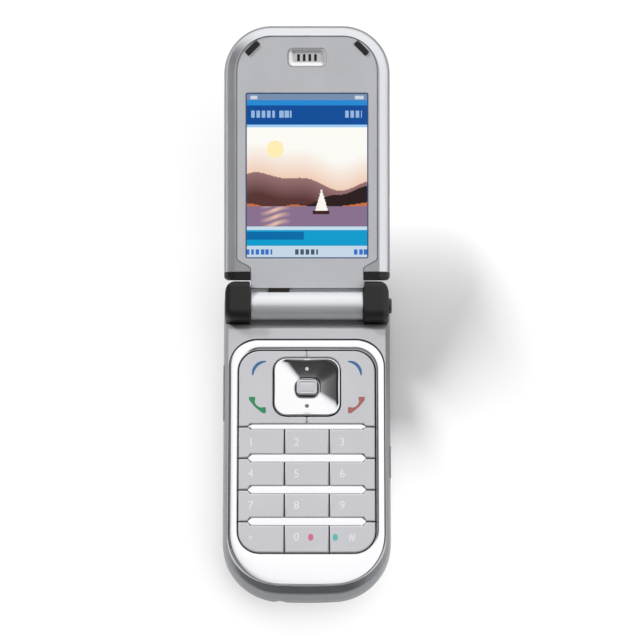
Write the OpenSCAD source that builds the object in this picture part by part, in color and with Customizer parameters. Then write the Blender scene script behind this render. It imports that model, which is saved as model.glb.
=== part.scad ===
// Clamshell phone, opened, lying on its back with the keypad up.
// X runs to the right, Y from the chin towards the lid, Z out of the keypad, in millimetres.
// The origin is the centre of the back, on the surface that the phone rests on.
// Lid pieces are drawn with the lid laid flat and the hinge axis at zero, then lifted to their open place.

$fn = 64;

/* [Body] */
// Width of the base across its sides
body_w = 47.2; // [46.8:0.2:51]
// Length of the base from the chin to the rear of the hinge ears
body_l = 91.3; // [90.5:0.1:98]
// Height of the base from its back to its keypad side
base_t = 11.2; // [10.9:0.1:13]
// Width of the lid
lid_w = 47.2; // [46:0.2:50]
// Length of the lid from the hinge axis to its far end
lid_l = 79.8; // [79:0.2:86]
// Thickness of the lid
lid_t = 8.5; // [8.3:0.1:11]
// Thickness of the outer walls
wall = 1.2; // [0.8:0.1:1.4]
// Gap between lid and base when the phone is shut
close_gap = 0.3; // [0.2:0.05:0.6]
// Plan radius of the two chin corners
chin_r = 16.6; // [13:0.2:17]
// Radius of the bow of the chin
chin_bow_r = 140; // [110:5:200]
// Plan radius of the two far corners of the lid
lid_r = 13.6; // [11:0.2:14]
// Clearance between pieces that sit in one another
fit = 0.1; // [0.05:0.05:0.2]
// Clearance round a piece that moves
run_gap = 0.2; // [0.15:0.05:0.3]

/* [Hinge] */
// Lift of the open lid above the plane of the keypad, in degrees
open_lift = 15; // [10:1:20]
// Length of the hinge barrel on the lid
barrel_l = 32; // [28:0.5:34]
// Radius of the hinge barrel
barrel_r = 4; // [3.8:0.1:4.2]
// Radius of the bore along the barrel
barrel_bore_r = 2.9; // [2.7:0.1:3]
// How far the ears reach behind the hinge axis
ear_rear = 7; // [6.5:0.25:7.5]
// How far the ears reach in front of the hinge axis
ear_front = 4.7; // [4.6:0.1:5]
// Height of the ears above the hinge axis
ear_top = 4.8; // [4.2:0.1:5.2]
// Plan radius of the rear outer corners of the ears and base
ear_r = 4.8; // [3.5:0.1:5]
// Radius of the plain hinge pin in the left ear
pin_r = 1; // [0.8:0.1:1.2]
// Radius of the cam shaft in the right ear
shaft_r = 1.2; // [1:0.1:1.5]
// Radial running clearance of pin and shaft
pin_gap = 0.05; // [0.03:0.01:0.08]
// Radius of the button that opens the lid
button_r = 2.2; // [1.8:0.1:2.5]
// How far the opening button stands out of the right ear
button_out = 0.9; // [0.8:0.1:1.2]

/* [Keypad] */
// Distance from the side of the base to the keypad field
keypad_side = 4.2; // [3.9:0.1:4.6]
// Length of the keypad field
keypad_l = 58.6; // [57.4:0.2:59]
// Distance from the hinge axis to the keypad field
keypad_start = 12.8; // [12.5:0.1:13.3]
// Corner radius of the keypad field
keypad_r = 6.2; // [5:0.2:7]
// Depth of the bright ring round the keypad
ring_t = 1.5; // [1.2:0.1:1.7]
// Distance from the hinge axis to the ring
ring_start = 9.7; // [9:0.1:10.5]
// Distance from the hinge axis to the first bar
first_bar = 35.1; // [34.7:0.1:35.5]
// Distance from one bar to the next
row_pitch = 9.1; // [8.8:0.05:9.3]
// Share of the field's width that the middle column of keys takes
col_share = 0.325; // [0.305:0.005:0.345]
// Distance from the side of the keypad field to the ends of the bars
bar_end = 2.9; // [1.9:0.1:4.4]
// Width of the bars below the first one
bar_w = 1.9; // [1.5:0.1:2.2]
// Width of the thin first bar
first_bar_w = 1.2; // [1:0.1:1.6]
// How far the keys lie below the ring
key_sink = 0.4; // [0.3:0.05:0.6]
// Travel of a key
key_travel = 0.4; // [0.3:0.05:0.4]
// Gap between neighbouring keys
key_gap = 0.35; // [0.2:0.05:0.4]
// Share of the field's width that the navigation pad takes
nav_share = 0.48; // [0.455:0.005:0.5]
// Length of the navigation pad
nav_l = 16.6; // [16:0.1:17]
// Corner radius of the navigation pad
nav_r = 3.5; // [3:0.1:4.5]
// Width of the select key
select_w = 5.8; // [5.2:0.1:6.6]
// Length of the select key
select_l = 4.2; // [3.8:0.1:4.8]
// Width of the groove round the select key
select_groove = 0.8; // [0.5:0.05:0.9]

/* [Battery and boards] */
// Distance from the side of the base to the battery
battery_side = 6.6; // [6.1:0.1:8.6]
// Length of the battery
battery_l = 50; // [45:0.5:51]
// Thickness of the battery
battery_t = 3.8; // [3.4:0.1:3.9]
// Thickness of the battery cover
cover_t = 1.2; // [1:0.05:1.3]
// Distance from the side of the base to the battery cover where it shows
cover_side = 4.6; // [4.4:0.1:5.1]
// Distance of the battery cover's rear edge behind the middle of the phone
cover_rear = 22; // [21:0.5:23]
// Thickness of the card holders over the battery
card_t = 0.8; // [0.7:0.05:0.9]
// Thickness of the deck under the main board
deck_t = 0.6; // [0.5:0.05:0.7]
// Thickness of a circuit board
board_t = 0.8; // [0.6:0.05:0.9]
// Thickness of the rubber mat under the keys
mat_t = 0.8; // [0.7:0.05:0.9]
// Height of the click domes
dome_h = 0.25; // [0.2:0.05:0.3]
// Radius of the click domes
dome_r = 2; // [1.6:0.1:2.2]
// Radius of the charger plug's hole
socket_r = 1.05; // [0.9:0.05:1.3]
// Depth of the charger plug's hole
socket_depth = 6.5; // [5:0.5:7]
// Radius of a screw's shank
screw_r = 0.7; // [0.6:0.05:0.8]
// Radius of a screw's head
screw_head_r = 1.3; // [1.2:0.05:1.4]

/* [Lid] */
// Distance from the side of the lid to the inner panel
panel_side = 3.7; // [3.5:0.1:4]
// Thickness of the inner panel
panel_t = 1; // [0.8:0.05:1.1]
// How far the inner panel lies below the rim
panel_sink = 0.2; // [0.1:0.05:0.3]
// Distance from the side of the inner panel to the display window
window_side = 2.55; // [2.15:0.05:3.4]
// Distance from the far end of the lid to the display window
window_end = 19.3; // [18.7:0.1:22.2]
// Distance from the hinge axis to the display window
window_start = 13.6; // [13.3:0.1:14]
// Width of the outer display's window
outer_w = 27; // [24:0.5:30]
// Length of the outer display's window
outer_l = 21; // [18:0.5:24]
// Radius of the camera's ring
camera_r = 4.2; // [3.8:0.1:4.6]
// Width of the earpiece
ear_slot_w = 10.8; // [10:0.1:12]
// Length of the earpiece
ear_slot_l = 5.2; // [4.8:0.1:5.6]

/* [Hidden] */

// Length that carries a cut or a form safely past the faces that it meets
past = 1;

// Widths that follow the body and the lid
keypad_w = body_w - 2 * keypad_side;
col_w = keypad_w * col_share;
bar_l = keypad_w - 2 * bar_end;
nav_w = keypad_w * nav_share;
battery_w = body_w - 2 * battery_side;
cover_w = body_w - 2 * cover_side;
panel_w = lid_w - 2 * panel_side;
window_w = panel_w - 2 * window_side;
window_l = lid_l - window_start - window_end;

// Places along the base
chin_y = -body_l / 2;
rear_y = body_l / 2;
axis_y = rear_y - ear_rear;
axis_z = base_t + close_gap / 2;
face_rear = axis_y - ear_front;
shelf_z = axis_z - barrel_r - 0.45;
shelf_t = 1.3;
split_z = shelf_z - shelf_t;

// Insets and heights of the base's rounded edges, from the back up to the keypad side
side_edge = [[3.5, 0], [1.2, 1.6], [0, 4.2], [0, base_t - 3.8], [0.5, base_t - 1.6], [1.35, base_t]];
chin_edge = [
    [4.5, 0], [1.5, 1.6], [0, 4.2], [0, base_t - 4.6], [0.7, base_t - 2.8], [1.7, base_t - 1.1], [3.4, base_t]
];
chin_face = chin_edge[len(chin_edge) - 1][0];
side_face = side_edge[len(side_edge) - 1][0];
rear_chamfer = 1.6;

// Inside of the base
cavity_w = body_w - 2 * wall - 2;
chin_skin = wall + 1.6;
cavity_chin = chin_y + chin_skin;
cavity_r = chin_r - 2;
cover_gap = 0.15;
cover_lip = 0.8;
cover_lip_z = 0.65;
floor_z = cover_t + cover_gap + 0.85;
deep_y0 = cover_rear + 1.5;
bay_gap = 0.25;
bay_wall = 1.2;
battery_y = -8;
bay_w = battery_w + 2 * bay_gap;
bay_y0 = battery_y - battery_l / 2 - bay_gap;
bay_y1 = battery_y + battery_l / 2 + bay_gap;
box_w = cover_w + 2 * cover_lip;
battery_z = cover_t + 0.2;
card_z = battery_z + battery_t + 0.2;
deck_z = card_z + card_t;
board_z = deck_z + deck_t;
board_top = board_z + board_t;
mat_top = board_top + mat_t;
key_z = mat_top + key_travel + 0.1;
key_top = base_t - key_sink;
ring_z = base_t - ring_t;
plate_t = 1;
plate_z = ring_z - plate_t;
ring_w = body_w - 2 * side_face - 0.5;
ring_rear_r = 8;

// Keypad field
field_y1 = axis_y - keypad_start;
field_y0 = field_y1 - keypad_l;
bar_ys = [for (i = [0:3]) axis_y - first_bar - i * row_pitch];
bar_ws = [first_bar_w, bar_w, bar_w, bar_w];
bar_tip = 0.8;
bar_top = base_t - 0.15;
row_tops = bar_ys;
row_lows = [bar_ys[1], bar_ys[2], bar_ys[3], field_y0];
col_xs = [-col_w / 2, col_w / 2];
outer_key_x = (col_w / 2 + keypad_w / 2) / 2;
nav_y = (bar_ys[0] + field_y1) / 2 + 0.4;
nav_z = key_z + 0.25;
select_sink = 0.1;
select_r = 1;
gimbal_z = mat_top + 0.2;
gimbal_t = 0.3;
gimbal_w = 12;
gimbal_l = 11;

// Hinge and ears
ear_in = barrel_l / 2 + run_gap;
ear_out = body_w / 2 - 0.4;
ear_fillet = 2.5;
pin_depth = 2.8;
cam_l = 7.3;
button_x = ear_out - 2.4;
button_travel = 0.8;
pin_end = button_x - button_travel;
unit_l = 15.8;
barrel_end = 3;

// Screws of the base: place, height of the head and height of the tip
chin_screw = [body_w / 2 - 9, chin_y + 7.7];
board_gap = 0.4;
rear_screw = [body_w / 2 - 4.8, rear_y - 5.2];
screw_head_h = 0.9;
boss_r = 2.2;

// Side keys
side_key_z = split_z + 1.9;
side_key_h = 2.4;
side_key_in = 2;
side_key_out = 0.35;
volume_l = 16;
volume_y = 14;
camera_key_l = 9;
camera_key_y = -6;

// Insets and depths of the lid's rounded edges, from the inner face to the outer one
lid_face = -close_gap / 2;
lid_back = lid_face - lid_t;
lid_edge = [
    [3, 0], [1.3, 0.85], [0.3, 2.05], [0, 3.25], [0, lid_t - 4.25], [0.6, lid_t - 2.65],
    [2.4, lid_t - 1.05], [6.1, lid_t]
];
lid_start = ear_rear + 0.3;
panel_top = lid_face - panel_sink;
panel_z = panel_top - panel_t;
panel_gap = 0.2;
panel_end = lid_l - 3.2;
panel_r = lid_r - 3.7;
neck_w = barrel_l;
neck_start = 5.1;
neck_z = panel_z - 3.05;
neck_in = 12;
plate_w = 0.4;
lid_split = lid_face - 3.85;
lid_floor = lid_split + plate_w;
lid_cavity_w = panel_w - 2.2;
cap_end = 9.7;
bumper_l = 4.6;
bumper_w = 1.5;
bumper_r = 0.6;
bumper_side = 8.1;
bumper_far = 6.5;
bumper_out = 0.2;
bumper_x = lid_w / 2 - bumper_side;
bumper_y = lid_l - bumper_far;
lid_boss_r = 1.8;
neck_screw = [12.6, 10.2];
window_t = 0.8;
ear_slot_y = lid_l - 9.2;
camera_y = lid_l - 13.5;
outer_gap = 5;
outer_y = camera_y - camera_r - outer_l / 2 - outer_gap;
outer_r = 1.9;
outer_rim = 0.5;
outer_open_w = outer_w - 4 * outer_rim;
outer_open_l = outer_l - 4 * outer_rim;
outer_display_z = lid_back + wall + 0.15;
lid_board_t = board_t;
lid_board_w = lid_w - 13.2;

// Outline centred on the Y axis, with its own radius at the low and at the high end
module outline(w, y0, y1, r0, r1) {
    translate([-w / 2, y0 + r0]) square([w, y1 - y0 - r0 - r1]);
    translate([-w / 2 + r0, y0]) square([w - 2 * r0, r0 + past / 2]);
    translate([-w / 2 + r1, y1 - r1 - past / 2]) square([w - 2 * r1, r1 + past / 2]);
    for (s = [-1, 1]) {
        translate([s * (w / 2 - r0), y0 + r0]) circle(r0);
        translate([s * (w / 2 - r1), y1 - r1]) circle(r1);
    }
}

// Small rounded plate about its own centre
module plate(w, l, r, z0, z1) {
    translate([0, 0, z0]) linear_extrude(z1 - z0) outline(w, -l / 2, l / 2, r, r);
}

// Box between two corners
module box(a, b) {
    translate(a) cube(b - a);
}

// Cylinder along X between two places
module rod_x(r, x0, x1) {
    translate([x0, 0, 0]) rotate([0, 90, 0]) cylinder(h = x1 - x0, r = r);
}

// Profile in Y and Z, drawn out along X
module along_x(x0, x1) {
    translate([x0, 0, 0]) rotate([90, 0, 90]) linear_extrude(x1 - x0) children();
}

module both_sides() {
    children();
    mirror([1, 0, 0]) children();
}

module at_axis() {
    translate([0, axis_y, axis_z]) children();
}

module on_lid() {
    at_axis() rotate([open_lift, 0, 0]) children();
}

// ---- Forms of the base ----

// Block with an edge profile of insets and heights: corners turned at the low end, square at the high end
module pillow(w, y0, y1, r, edge) {
    rising = [for (p = edge) [w / 2 - p[0], p[1]]];
    falling = [for (i = [len(edge) - 1:-1:0]) [-w / 2 + edge[i][0], edge[i][1]]];
    low = edge[0][1];
    high = edge[len(edge) - 1][1];
    translate([0, y1, 0]) rotate([90, 0, 0]) linear_extrude(y1 - y0 - r) polygon(concat(rising, falling));
    along_x(r - w / 2, w / 2 - r)
        polygon(concat([[y0 + r + past, low]], [for (p = edge) [y0 + p[0], p[1]]], [[y0 + r + past, high]]));
    for (s = [-1, 1]) translate([s * (w / 2 - r), y0 + r, 0]) rotate_extrude()
        polygon(concat([[0, low]], [for (p = edge) [r - p[0], p[1]]], [[0, high]]));
}

module base_form() {
    hinge_side = [
        [face_rear - rear_chamfer, base_t], [face_rear, base_t - rear_chamfer], [face_rear, shelf_z],
        [rear_y, shelf_z], [rear_y, rear_chamfer], [rear_y - rear_chamfer, 0]
    ];
    intersection() {
        union() pillow(body_w, chin_y, rear_y, chin_r, side_edge);
        translate([0, chin_y + chin_bow_r, 0]) rotate_extrude($fn = 360)
            polygon(concat([[0, 0]], [for (p = chin_edge) [chin_bow_r - p[0], p[1]]], [[0, base_t]]));
        along_x(-body_w, body_w) polygon(concat([[chin_y - past, 0], [chin_y - past, base_t]], hinge_side));
        linear_extrude(base_t) outline(body_w, chin_y - body_w, rear_y, 1, ear_r);
    }
}

module base_slice(z0, z1) {
    intersection() {
        base_form();
        box([-body_w, chin_y - past, z0], [body_w, rear_y + past, z1]);
    }
}

// Space of the sliding battery cover, open at the chin
module cover_space(gap) {
    half = cover_w / 2 + gap;
    box([-half, chin_y - past, -past], [half, cover_rear + gap, cover_t + gap]);
    lip = half + cover_lip;
    box([-lip, chin_y - past, cover_lip_z - gap], [lip, cover_rear + gap, cover_t + gap]);
}

module field_plan(grow) {
    outline(keypad_w + 2 * grow, field_y0 - grow, field_y1 + grow, keypad_r + grow, keypad_r + grow);
}

module ring_plan(grow) {
    low_r = chin_r - 1.9 + grow;
    high_r = ring_rear_r + grow;
    intersection() {
        outline(ring_w + 2 * grow, chin_y + chin_face + 0.2 - grow, axis_y - ring_start + grow, low_r, high_r);
        translate([0, chin_y + chin_bow_r]) circle(r = chin_bow_r - chin_face - 0.2 + grow, $fn = 360);
    }
}

module side_key_hole(y, l) {
    translate([0, y, side_key_z])
        cube([2 * side_key_in + 2 * past, l + 2 * fit, side_key_h + 2 * fit], center = true);
}

module rear_shell() {
    color([0.60, 0.61, 0.63])
        difference() {
            union() {
                difference() {
                    base_slice(0, split_z);
                    translate([0, 0, floor_z]) linear_extrude(base_t)
                        outline(cavity_w, cavity_chin, rear_y - wall, cavity_r, ear_r - wall);
                    box([-cavity_w / 2 + 1, deep_y0, wall], [cavity_w / 2 - 1, rear_y - wall - 1, base_t]);
                }
                box(
                    [-box_w / 2, bay_y0 - bay_wall, cover_t + cover_gap],
                    [box_w / 2, bay_y1 + bay_wall, deck_z + deck_t]
                );
                both_sides() {
                    translate([chin_screw[0], chin_screw[1], cover_t + cover_gap])
                        cylinder(h = split_z - cover_t - cover_gap, r = boss_r);
                    translate([rear_screw[0], rear_screw[1], wall / 2])
                        cylinder(h = split_z - wall / 2, r = boss_r);
                }
            }
            box([-bay_w / 2, bay_y0, -past], [bay_w / 2, bay_y1, deck_z]);
            cover_space(cover_gap);
            contacts_space(fit);
            both_sides() {
                screw_space(chin_screw, cover_t + cover_gap);
                screw_space(rear_screw, 0);
            }
            speaker_slots();
            chin_hole(socket_x, socket_z, plug_r);
            chin_hole(mic_x, floor_z + 0.8, 0.5);
        }
}

// Round hole through the chin wall
module chin_hole(x, z, r) {
    translate([x, socket_y + past, z]) rotate([90, 0, 0]) cylinder(h = chin_skin + 2 * past, r = r);
}

// Hole of a screw with the room for its head
module screw_space(place, z) {
    translate([place[0], place[1], z - past]) cylinder(h = screw_head_h + 0.25 + past, r = screw_head_r + fit);
    translate([place[0], place[1], z - past]) cylinder(h = 2 * base_t, r = screw_r);
}

module front_cover() {
    color([0.78, 0.79, 0.81])
        difference() {
            union() {
                difference() {
                    base_slice(split_z, base_t + past);
                    translate([0, 0, split_z - past]) linear_extrude(plate_z - split_z + past)
                        outline(cavity_w, cavity_chin, face_rear - wall, cavity_r, 2);
                }
                both_sides()
                    translate([chin_screw[0], chin_screw[1], split_z])
                    cylinder(h = plate_z - split_z + plate_t / 2, r = boss_r);
            }
            translate([0, 0, split_z]) linear_extrude(base_t) field_plan(fit);
            translate([0, 0, ring_z]) linear_extrude(base_t) ring_plan(fit);
            both_sides() {
                translate([chin_screw[0], chin_screw[1], 0]) cylinder(h = screw_tip_chin, r = screw_r);
                translate([rear_screw[0], rear_screw[1], 0]) cylinder(h = 2 * base_t, r = screw_r);
            }
            translate([-body_w / 2, 0, 0]) side_key_hole(volume_y, volume_l);
            translate([body_w / 2, 0, 0]) side_key_hole(camera_key_y, camera_key_l);
        }
}

module keypad_ring() {
    color([0.93, 0.93, 0.95])
        difference() {
            intersection() {
                translate([0, 0, ring_z]) linear_extrude(ring_t) ring_plan(0);
                base_form();
            }
            translate([0, 0, ring_z - past]) linear_extrude(2 * base_t) field_plan(fit);
        }
}

// Plan of a bar with pointed ends
module bar_plan(w, l) {
    polygon([
        [-l / 2, 0], [-l / 2 + bar_tip, w / 2], [l / 2 - bar_tip, w / 2], [l / 2, 0],
        [l / 2 - bar_tip, -w / 2], [-l / 2 + bar_tip, -w / 2]
    ]);
}

module row_bars() {
    color([0.9, 0.9, 0.92])
        for (i = [0:3]) translate([0, bar_ys[i], mat_top])
            linear_extrude(bar_top - mat_top) bar_plan(bar_ws[i], bar_l);
}

// Places of the click domes: twelve keys, two ends of each function key, four ways and the select key
dome_places = concat(
    [for (r = [0:3]) for (c = [-1:1]) [c * (c == 0 ? 0 : outer_key_x), (row_tops[r] + row_lows[r]) / 2]],
    [for (s = [-1, 1]) for (e = [-1, 1]) [s * (nav_w + keypad_w) / 4, nav_y + e * 0.45 * nav_l]],
    [for (a = [0:3]) [0.36 * nav_w * cos(90 * a), nav_y + 0.36 * nav_l * sin(90 * a)]],
    [[0, nav_y]]
);

module keypad_mat() {
    color([0.85, 0.86, 0.88])
        difference() {
            translate([0, 0, board_top]) linear_extrude(mat_t) field_plan(0.7);
            for (p = dome_places) translate([p[0], p[1], board_top - past])
                cylinder(h = dome_h + past + 0.1, r = dome_r + 0.2);
        }
}

module key_domes() {
    color([0.75, 0.76, 0.78])
        for (p = dome_places) translate([p[0], p[1], board_top])
            cylinder(h = dome_h, r1 = dome_r, r2 = dome_r * 0.6);
}

module main_board() {
    color([0.1, 0.35, 0.2])
        translate([0, 0, board_z]) linear_extrude(board_t)
        outline(cavity_w - 3, chin_screw[1] + boss_r + board_gap, face_rear - wall - 1, 5, 1);
}

module shield_cans() {
    can_h = 1.8;
    can_x0 = 0.8;
    can_x1 = body_w / 2 - 4.8;
    can_y0 = bay_y1 + 3.2;
    can_y1 = face_rear - wall - 2;
    skin = 0.25;
    color([0.72, 0.72, 0.74])
        both_sides()
        difference() {
            box([can_x0, can_y0, board_z - can_h], [can_x1, can_y1, board_z]);
            box(
                [can_x0 + skin, can_y0 + skin, board_z - can_h + skin],
                [can_x1 - skin, can_y1 - skin, board_z + past]
            );
        }
}

module contacts_space(gap) {
    box([-4.5 - gap, bay_y1 - past / 2, battery_z + 0.6 - gap], [4.5 + gap, bay_y1 + 2.6 + gap, board_z]);
}

module battery_contacts() {
    color([0.15, 0.15, 0.16])
        box([-4.5, bay_y1 - bay_gap, battery_z + 0.6], [4.5, bay_y1 + 2.6, board_z]);
}

// Charger socket in the chin wall
socket_side = 16.1;
socket_x = socket_side - body_w / 2;
socket_y = cavity_chin + 0.9;
socket_z = floor_z + 1.9;
plug_r = 1.7;
socket_w = 6.8;
socket_h = 3.8;
module charge_socket() {
    color([0.2, 0.2, 0.22])
        difference() {
            box(
                [socket_x - socket_w / 2, socket_y, floor_z],
                [socket_x + socket_w / 2, bay_y0 - bay_wall - 0.3, floor_z + socket_h]
            );
            translate([socket_x, socket_y + socket_depth, socket_z]) rotate([90, 0, 0])
                cylinder(h = socket_depth + past, r = socket_r);
        }
}

mic_side = 16.6;
mic_x = body_w / 2 - mic_side;
module microphone() {
    color([0.8, 0.7, 0.4])
        translate([mic_x, cavity_chin + 3.4, floor_z]) cylinder(h = 1.6, r = 2.2);
}

speaker_x = -10.5;
speaker_r = 5;
speaker_t = 2.4;
speaker_y = deep_y0 + speaker_r + 0.2;
module loudspeaker() {
    color([0.25, 0.25, 0.27])
        translate([speaker_x, speaker_y, wall]) cylinder(h = speaker_t, r = speaker_r);
}

module speaker_slots() {
    for (i = [-2:2]) translate([speaker_x, speaker_y + 1.8 * i, -past]) plate(6, 0.8, 0.39, 0, wall + 2 * past);
}

module vibration_motor() {
    motor_r = 1.6;
    motor_x = 4.5;
    motor_l = 9;
    color([0.7, 0.7, 0.72])
        translate([0, speaker_y, wall + motor_r]) {
            rod_x(motor_r, motor_x, motor_x + motor_l);
            rod_x(0.4, motor_x + motor_l, motor_x + motor_l + 3);
            intersection() {
                rod_x(motor_r - 0.1, motor_x + motor_l + 0.4, motor_x + motor_l + 3);
                box([motor_x, -motor_r, 0], [motor_x + 2 * motor_l, motor_r, motor_r]);
            }
        }
}

antenna_side = 9.6;
antenna_gap = 1.2;
antenna_w = body_w - 2 * antenna_side;
module antenna() {
    color([0.9, 0.88, 0.8])
        box(
            [-antenna_w / 2, face_rear + antenna_gap, wall],
            [antenna_w / 2, rear_y - wall - antenna_gap, split_z - run_gap]
        );
}

// Metal holders for the two cards, fixed under the deck above the battery
sim_l = 25;
memory_l = 15;
module card_holder(x, w, y, l) {
    box([x, battery_y + y, card_z], [x + w, battery_y + y + l, deck_z]);
}

module card_holders() {
    color([0.74, 0.75, 0.77]) {
        card_holder(2.5 - battery_w / 2, 17, -4, sim_l);
        card_holder(battery_w / 2 - 13, 11.5, 4, memory_l);
    }
}

module battery() {
    color([0.22, 0.24, 0.3])
        translate([0, battery_y, 0]) plate(battery_w, battery_l, 1.2, battery_z, battery_z + battery_t);
}

module battery_cover() {
    grip_y = cover_rear - 4;
    grip_w = 0.37 * cover_w;
    color([0.70, 0.71, 0.73])
        difference() {
            intersection() {
                base_form();
                cover_space(0);
            }
            for (i = [-2:2]) translate([0, grip_y - 1.6 * i, -past]) plate(grip_w, 0.7, 0.34, 0, past + 0.3);
        }
}

// ---- Hinge ears ----

module ear_form() {
    low = shelf_z - axis_z;
    intersection() {
        at_axis() along_x(ear_in, ear_out)
            intersection() {
                union() {
                    circle(ear_rear);
                    translate([-ear_front, low]) square([ear_front + ear_rear, -low]);
                }
                translate([(ear_rear - ear_front) / 2, 0])
                    outline(ear_front + ear_rear, low - ear_fillet - past, ear_top, 1, ear_fillet);
                translate([-2 * ear_rear, low]) square([4 * ear_rear, 4 * ear_rear]);
            }
        linear_extrude(2 * base_t) outline(2 * ear_out, face_rear, rear_y, 0.6, ear_r - 0.4);
    }
}

module left_ear() {
    color([0.1, 0.1, 0.11])
        mirror([1, 0, 0])
        difference() {
            ear_form();
            at_axis() rod_x(pin_r, 0, pin_end);
            translate([rear_screw[0], rear_screw[1], 0]) cylinder(h = screw_tip_rear, r = screw_r);
        }
}

module right_ear() {
    color([0.1, 0.1, 0.11])
        difference() {
            ear_form();
            at_axis() {
                rod_x(shaft_r, 0, pin_end - 0.2);
                rod_x(button_r + pin_gap, button_x - button_travel - 0.2, body_w);
            }
            translate([rear_screw[0], rear_screw[1], 0]) cylinder(h = screw_tip_rear, r = screw_r);
        }
}

module hinge_pins() {
    color([0.8, 0.8, 0.82])
        at_axis() {
            mirror([1, 0, 0]) rod_x(pin_r, barrel_l / 2 - pin_depth, pin_end);
            rod_x(shaft_r, barrel_l / 2 - cam_l, pin_end - 0.2);
        }
}

module open_button() {
    color([0.08, 0.08, 0.09])
        at_axis() rod_x(button_r, button_x, ear_out + button_out);
}

screw_tip_chin = plate_z;
screw_tip_rear = shelf_z + 3;
module screw(place, z_head, z_tip) {
    translate([place[0], place[1], z_head + 0.2]) {
        cylinder(h = screw_head_h, r = screw_head_r);
        cylinder(h = z_tip - z_head - 0.4, r = screw_r);
    }
}

module base_screws() {
    color([0.7, 0.7, 0.72])
        both_sides() {
            screw(chin_screw, cover_t + cover_gap, screw_tip_chin);
            screw(rear_screw, 0, screw_tip_rear);
        }
}

// ---- Keys ----

// A key fills its cell of the field, cut back round the bars
module key_form(x0, x1, y0, y1) {
    gap = key_gap / 2;
    difference() {
        translate([0, 0, key_z]) linear_extrude(key_top - key_z)
            intersection() {
                field_plan(-run_gap);
                translate([x0 + gap, y0 + gap]) square([x1 - x0 - 2 * gap, y1 - y0 - 2 * gap]);
            }
        for (i = [0:3]) translate([0, bar_ys[i], 0]) linear_extrude(2 * base_t)
            bar_plan(bar_ws[i] + 2 * run_gap, bar_l + 2 * run_gap);
    }
}

module number_key(row, col) {
    edge = keypad_w;
    xs = [-edge, col_xs[0], col_xs[1], edge];
    color([0.78, 0.78, 0.80]) key_form(xs[col], xs[col + 1], row_lows[row], row_tops[row]);
}

module key_1() { number_key(0, 0); }
module key_2() { number_key(0, 1); }
module key_3() { number_key(0, 2); }
module key_4() { number_key(1, 0); }
module key_5() { number_key(1, 1); }
module key_6() { number_key(1, 2); }
module key_7() { number_key(2, 0); }
module key_8() { number_key(2, 1); }
module key_9() { number_key(2, 2); }
module key_star() { number_key(3, 0); }
module key_0() { number_key(3, 1); }
module key_hash() { number_key(3, 2); }

module nav_plan(grow) {
    half = nav_l / 2 + grow;
    translate([0, nav_y]) outline(nav_w + 2 * grow, -half, half, nav_r + grow, nav_r + grow);
}

module function_key() {
    color([0.80, 0.80, 0.82])
        difference() {
            key_form(0, keypad_w, bar_ys[0], field_y1 + past);
            translate([0, 0, key_z - past]) linear_extrude(base_t) nav_plan(0.3);
        }
}

module left_function_key() { mirror([1, 0, 0]) function_key(); }
module right_function_key() { function_key(); }

module select_plan(grow) {
    half = select_l / 2 + grow;
    translate([0, nav_y]) outline(select_w + 2 * grow, -half, half, select_r + grow, select_r + grow);
}

module nav_gimbal() {
    color([0.2, 0.2, 0.21])
        difference() {
            translate([0, nav_y, 0]) plate(gimbal_w, gimbal_l, 2, gimbal_z, gimbal_z + gimbal_t);
            translate([0, 0, gimbal_z - past]) linear_extrude(base_t) select_plan(select_groove);
        }
}

module nav_pad() {
    color([0.86, 0.86, 0.87])
        difference() {
            translate([0, 0, nav_z]) linear_extrude(base_t - nav_z) nav_plan(0);
            translate([0, 0, nav_z - past]) linear_extrude(base_t) select_plan(select_groove);
        }
}

module select_key() {
    color([0.75, 0.76, 0.78])
        translate([0, 0, nav_z]) linear_extrude(base_t - select_sink - nav_z) select_plan(0);
}

// Side key let into the wall of the front cover; side is -1 for the left and 1 for the right
module side_key(side, y, l) {
    color([0.66, 0.67, 0.69])
        translate([side * body_w / 2, y, side_key_z])
        box(
            [side > 0 ? -side_key_in : -side_key_out, -l / 2, -side_key_h / 2],
            [side > 0 ? side_key_out : side_key_in, l / 2, side_key_h / 2]
        );
}

module volume_key() { side_key(-1, volume_y, volume_l); }
module camera_key() { side_key(1, camera_key_y, camera_key_l); }

// ---- Forms of the lid ----

module lid_form() {
    edge = [for (i = [len(lid_edge) - 1:-1:0]) [lid_edge[i][0], lid_face - lid_edge[i][1]]];
    ends = [
        [lid_start + 1.8, lid_back], [lid_start, lid_back + 2.1], [lid_start, lid_face],
        [lid_l + past, lid_face], [lid_l + past, lid_back]
    ];
    intersection() {
        mirror([0, 1, 0]) union() pillow(lid_w, -lid_l, 0, lid_r, edge);
        along_x(-lid_w, lid_w) polygon(ends);
    }
}

module lid_slice(z0, z1) {
    intersection() {
        lid_form();
        box([-lid_w, 0, z0], [lid_w, lid_l + past, z1]);
    }
}

// Room for the barrel's neck where it enters the lid
module neck_space() {
    box([-neck_w / 2 - fit, 0, neck_z - fit], [neck_w / 2 + fit, neck_in + fit, 0]);
}

// Black corner caps beside the neck
module cap_space(gap) {
    both_sides() box([neck_w / 2 + 0.1 - gap, 0, lid_back - past], [lid_w, cap_end + gap, past]);
}

// Inner panel: wide part, S-shaped shoulders and the neck over the hinge
module panel_plan(grow) {
    wide = panel_w / 2 + grow;
    neck = neck_w / 2 + grow;
    outline(2 * wide, 12.9 - grow, panel_end + grow, 0.4, panel_r + grow);
    polygon([
        [-wide, 13.9], [-wide, 13 - grow], [-wide + 1.6, 12 - grow], [-neck - 0.5, 11.4 - grow], [-neck, 10.4],
        [-neck, neck_start - grow], [neck, neck_start - grow], [neck, 10.4], [neck + 0.5, 11.4 - grow],
        [wide - 1.6, 12 - grow], [wide, 13 - grow], [wide, 13.9]
    ]);
}

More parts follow.
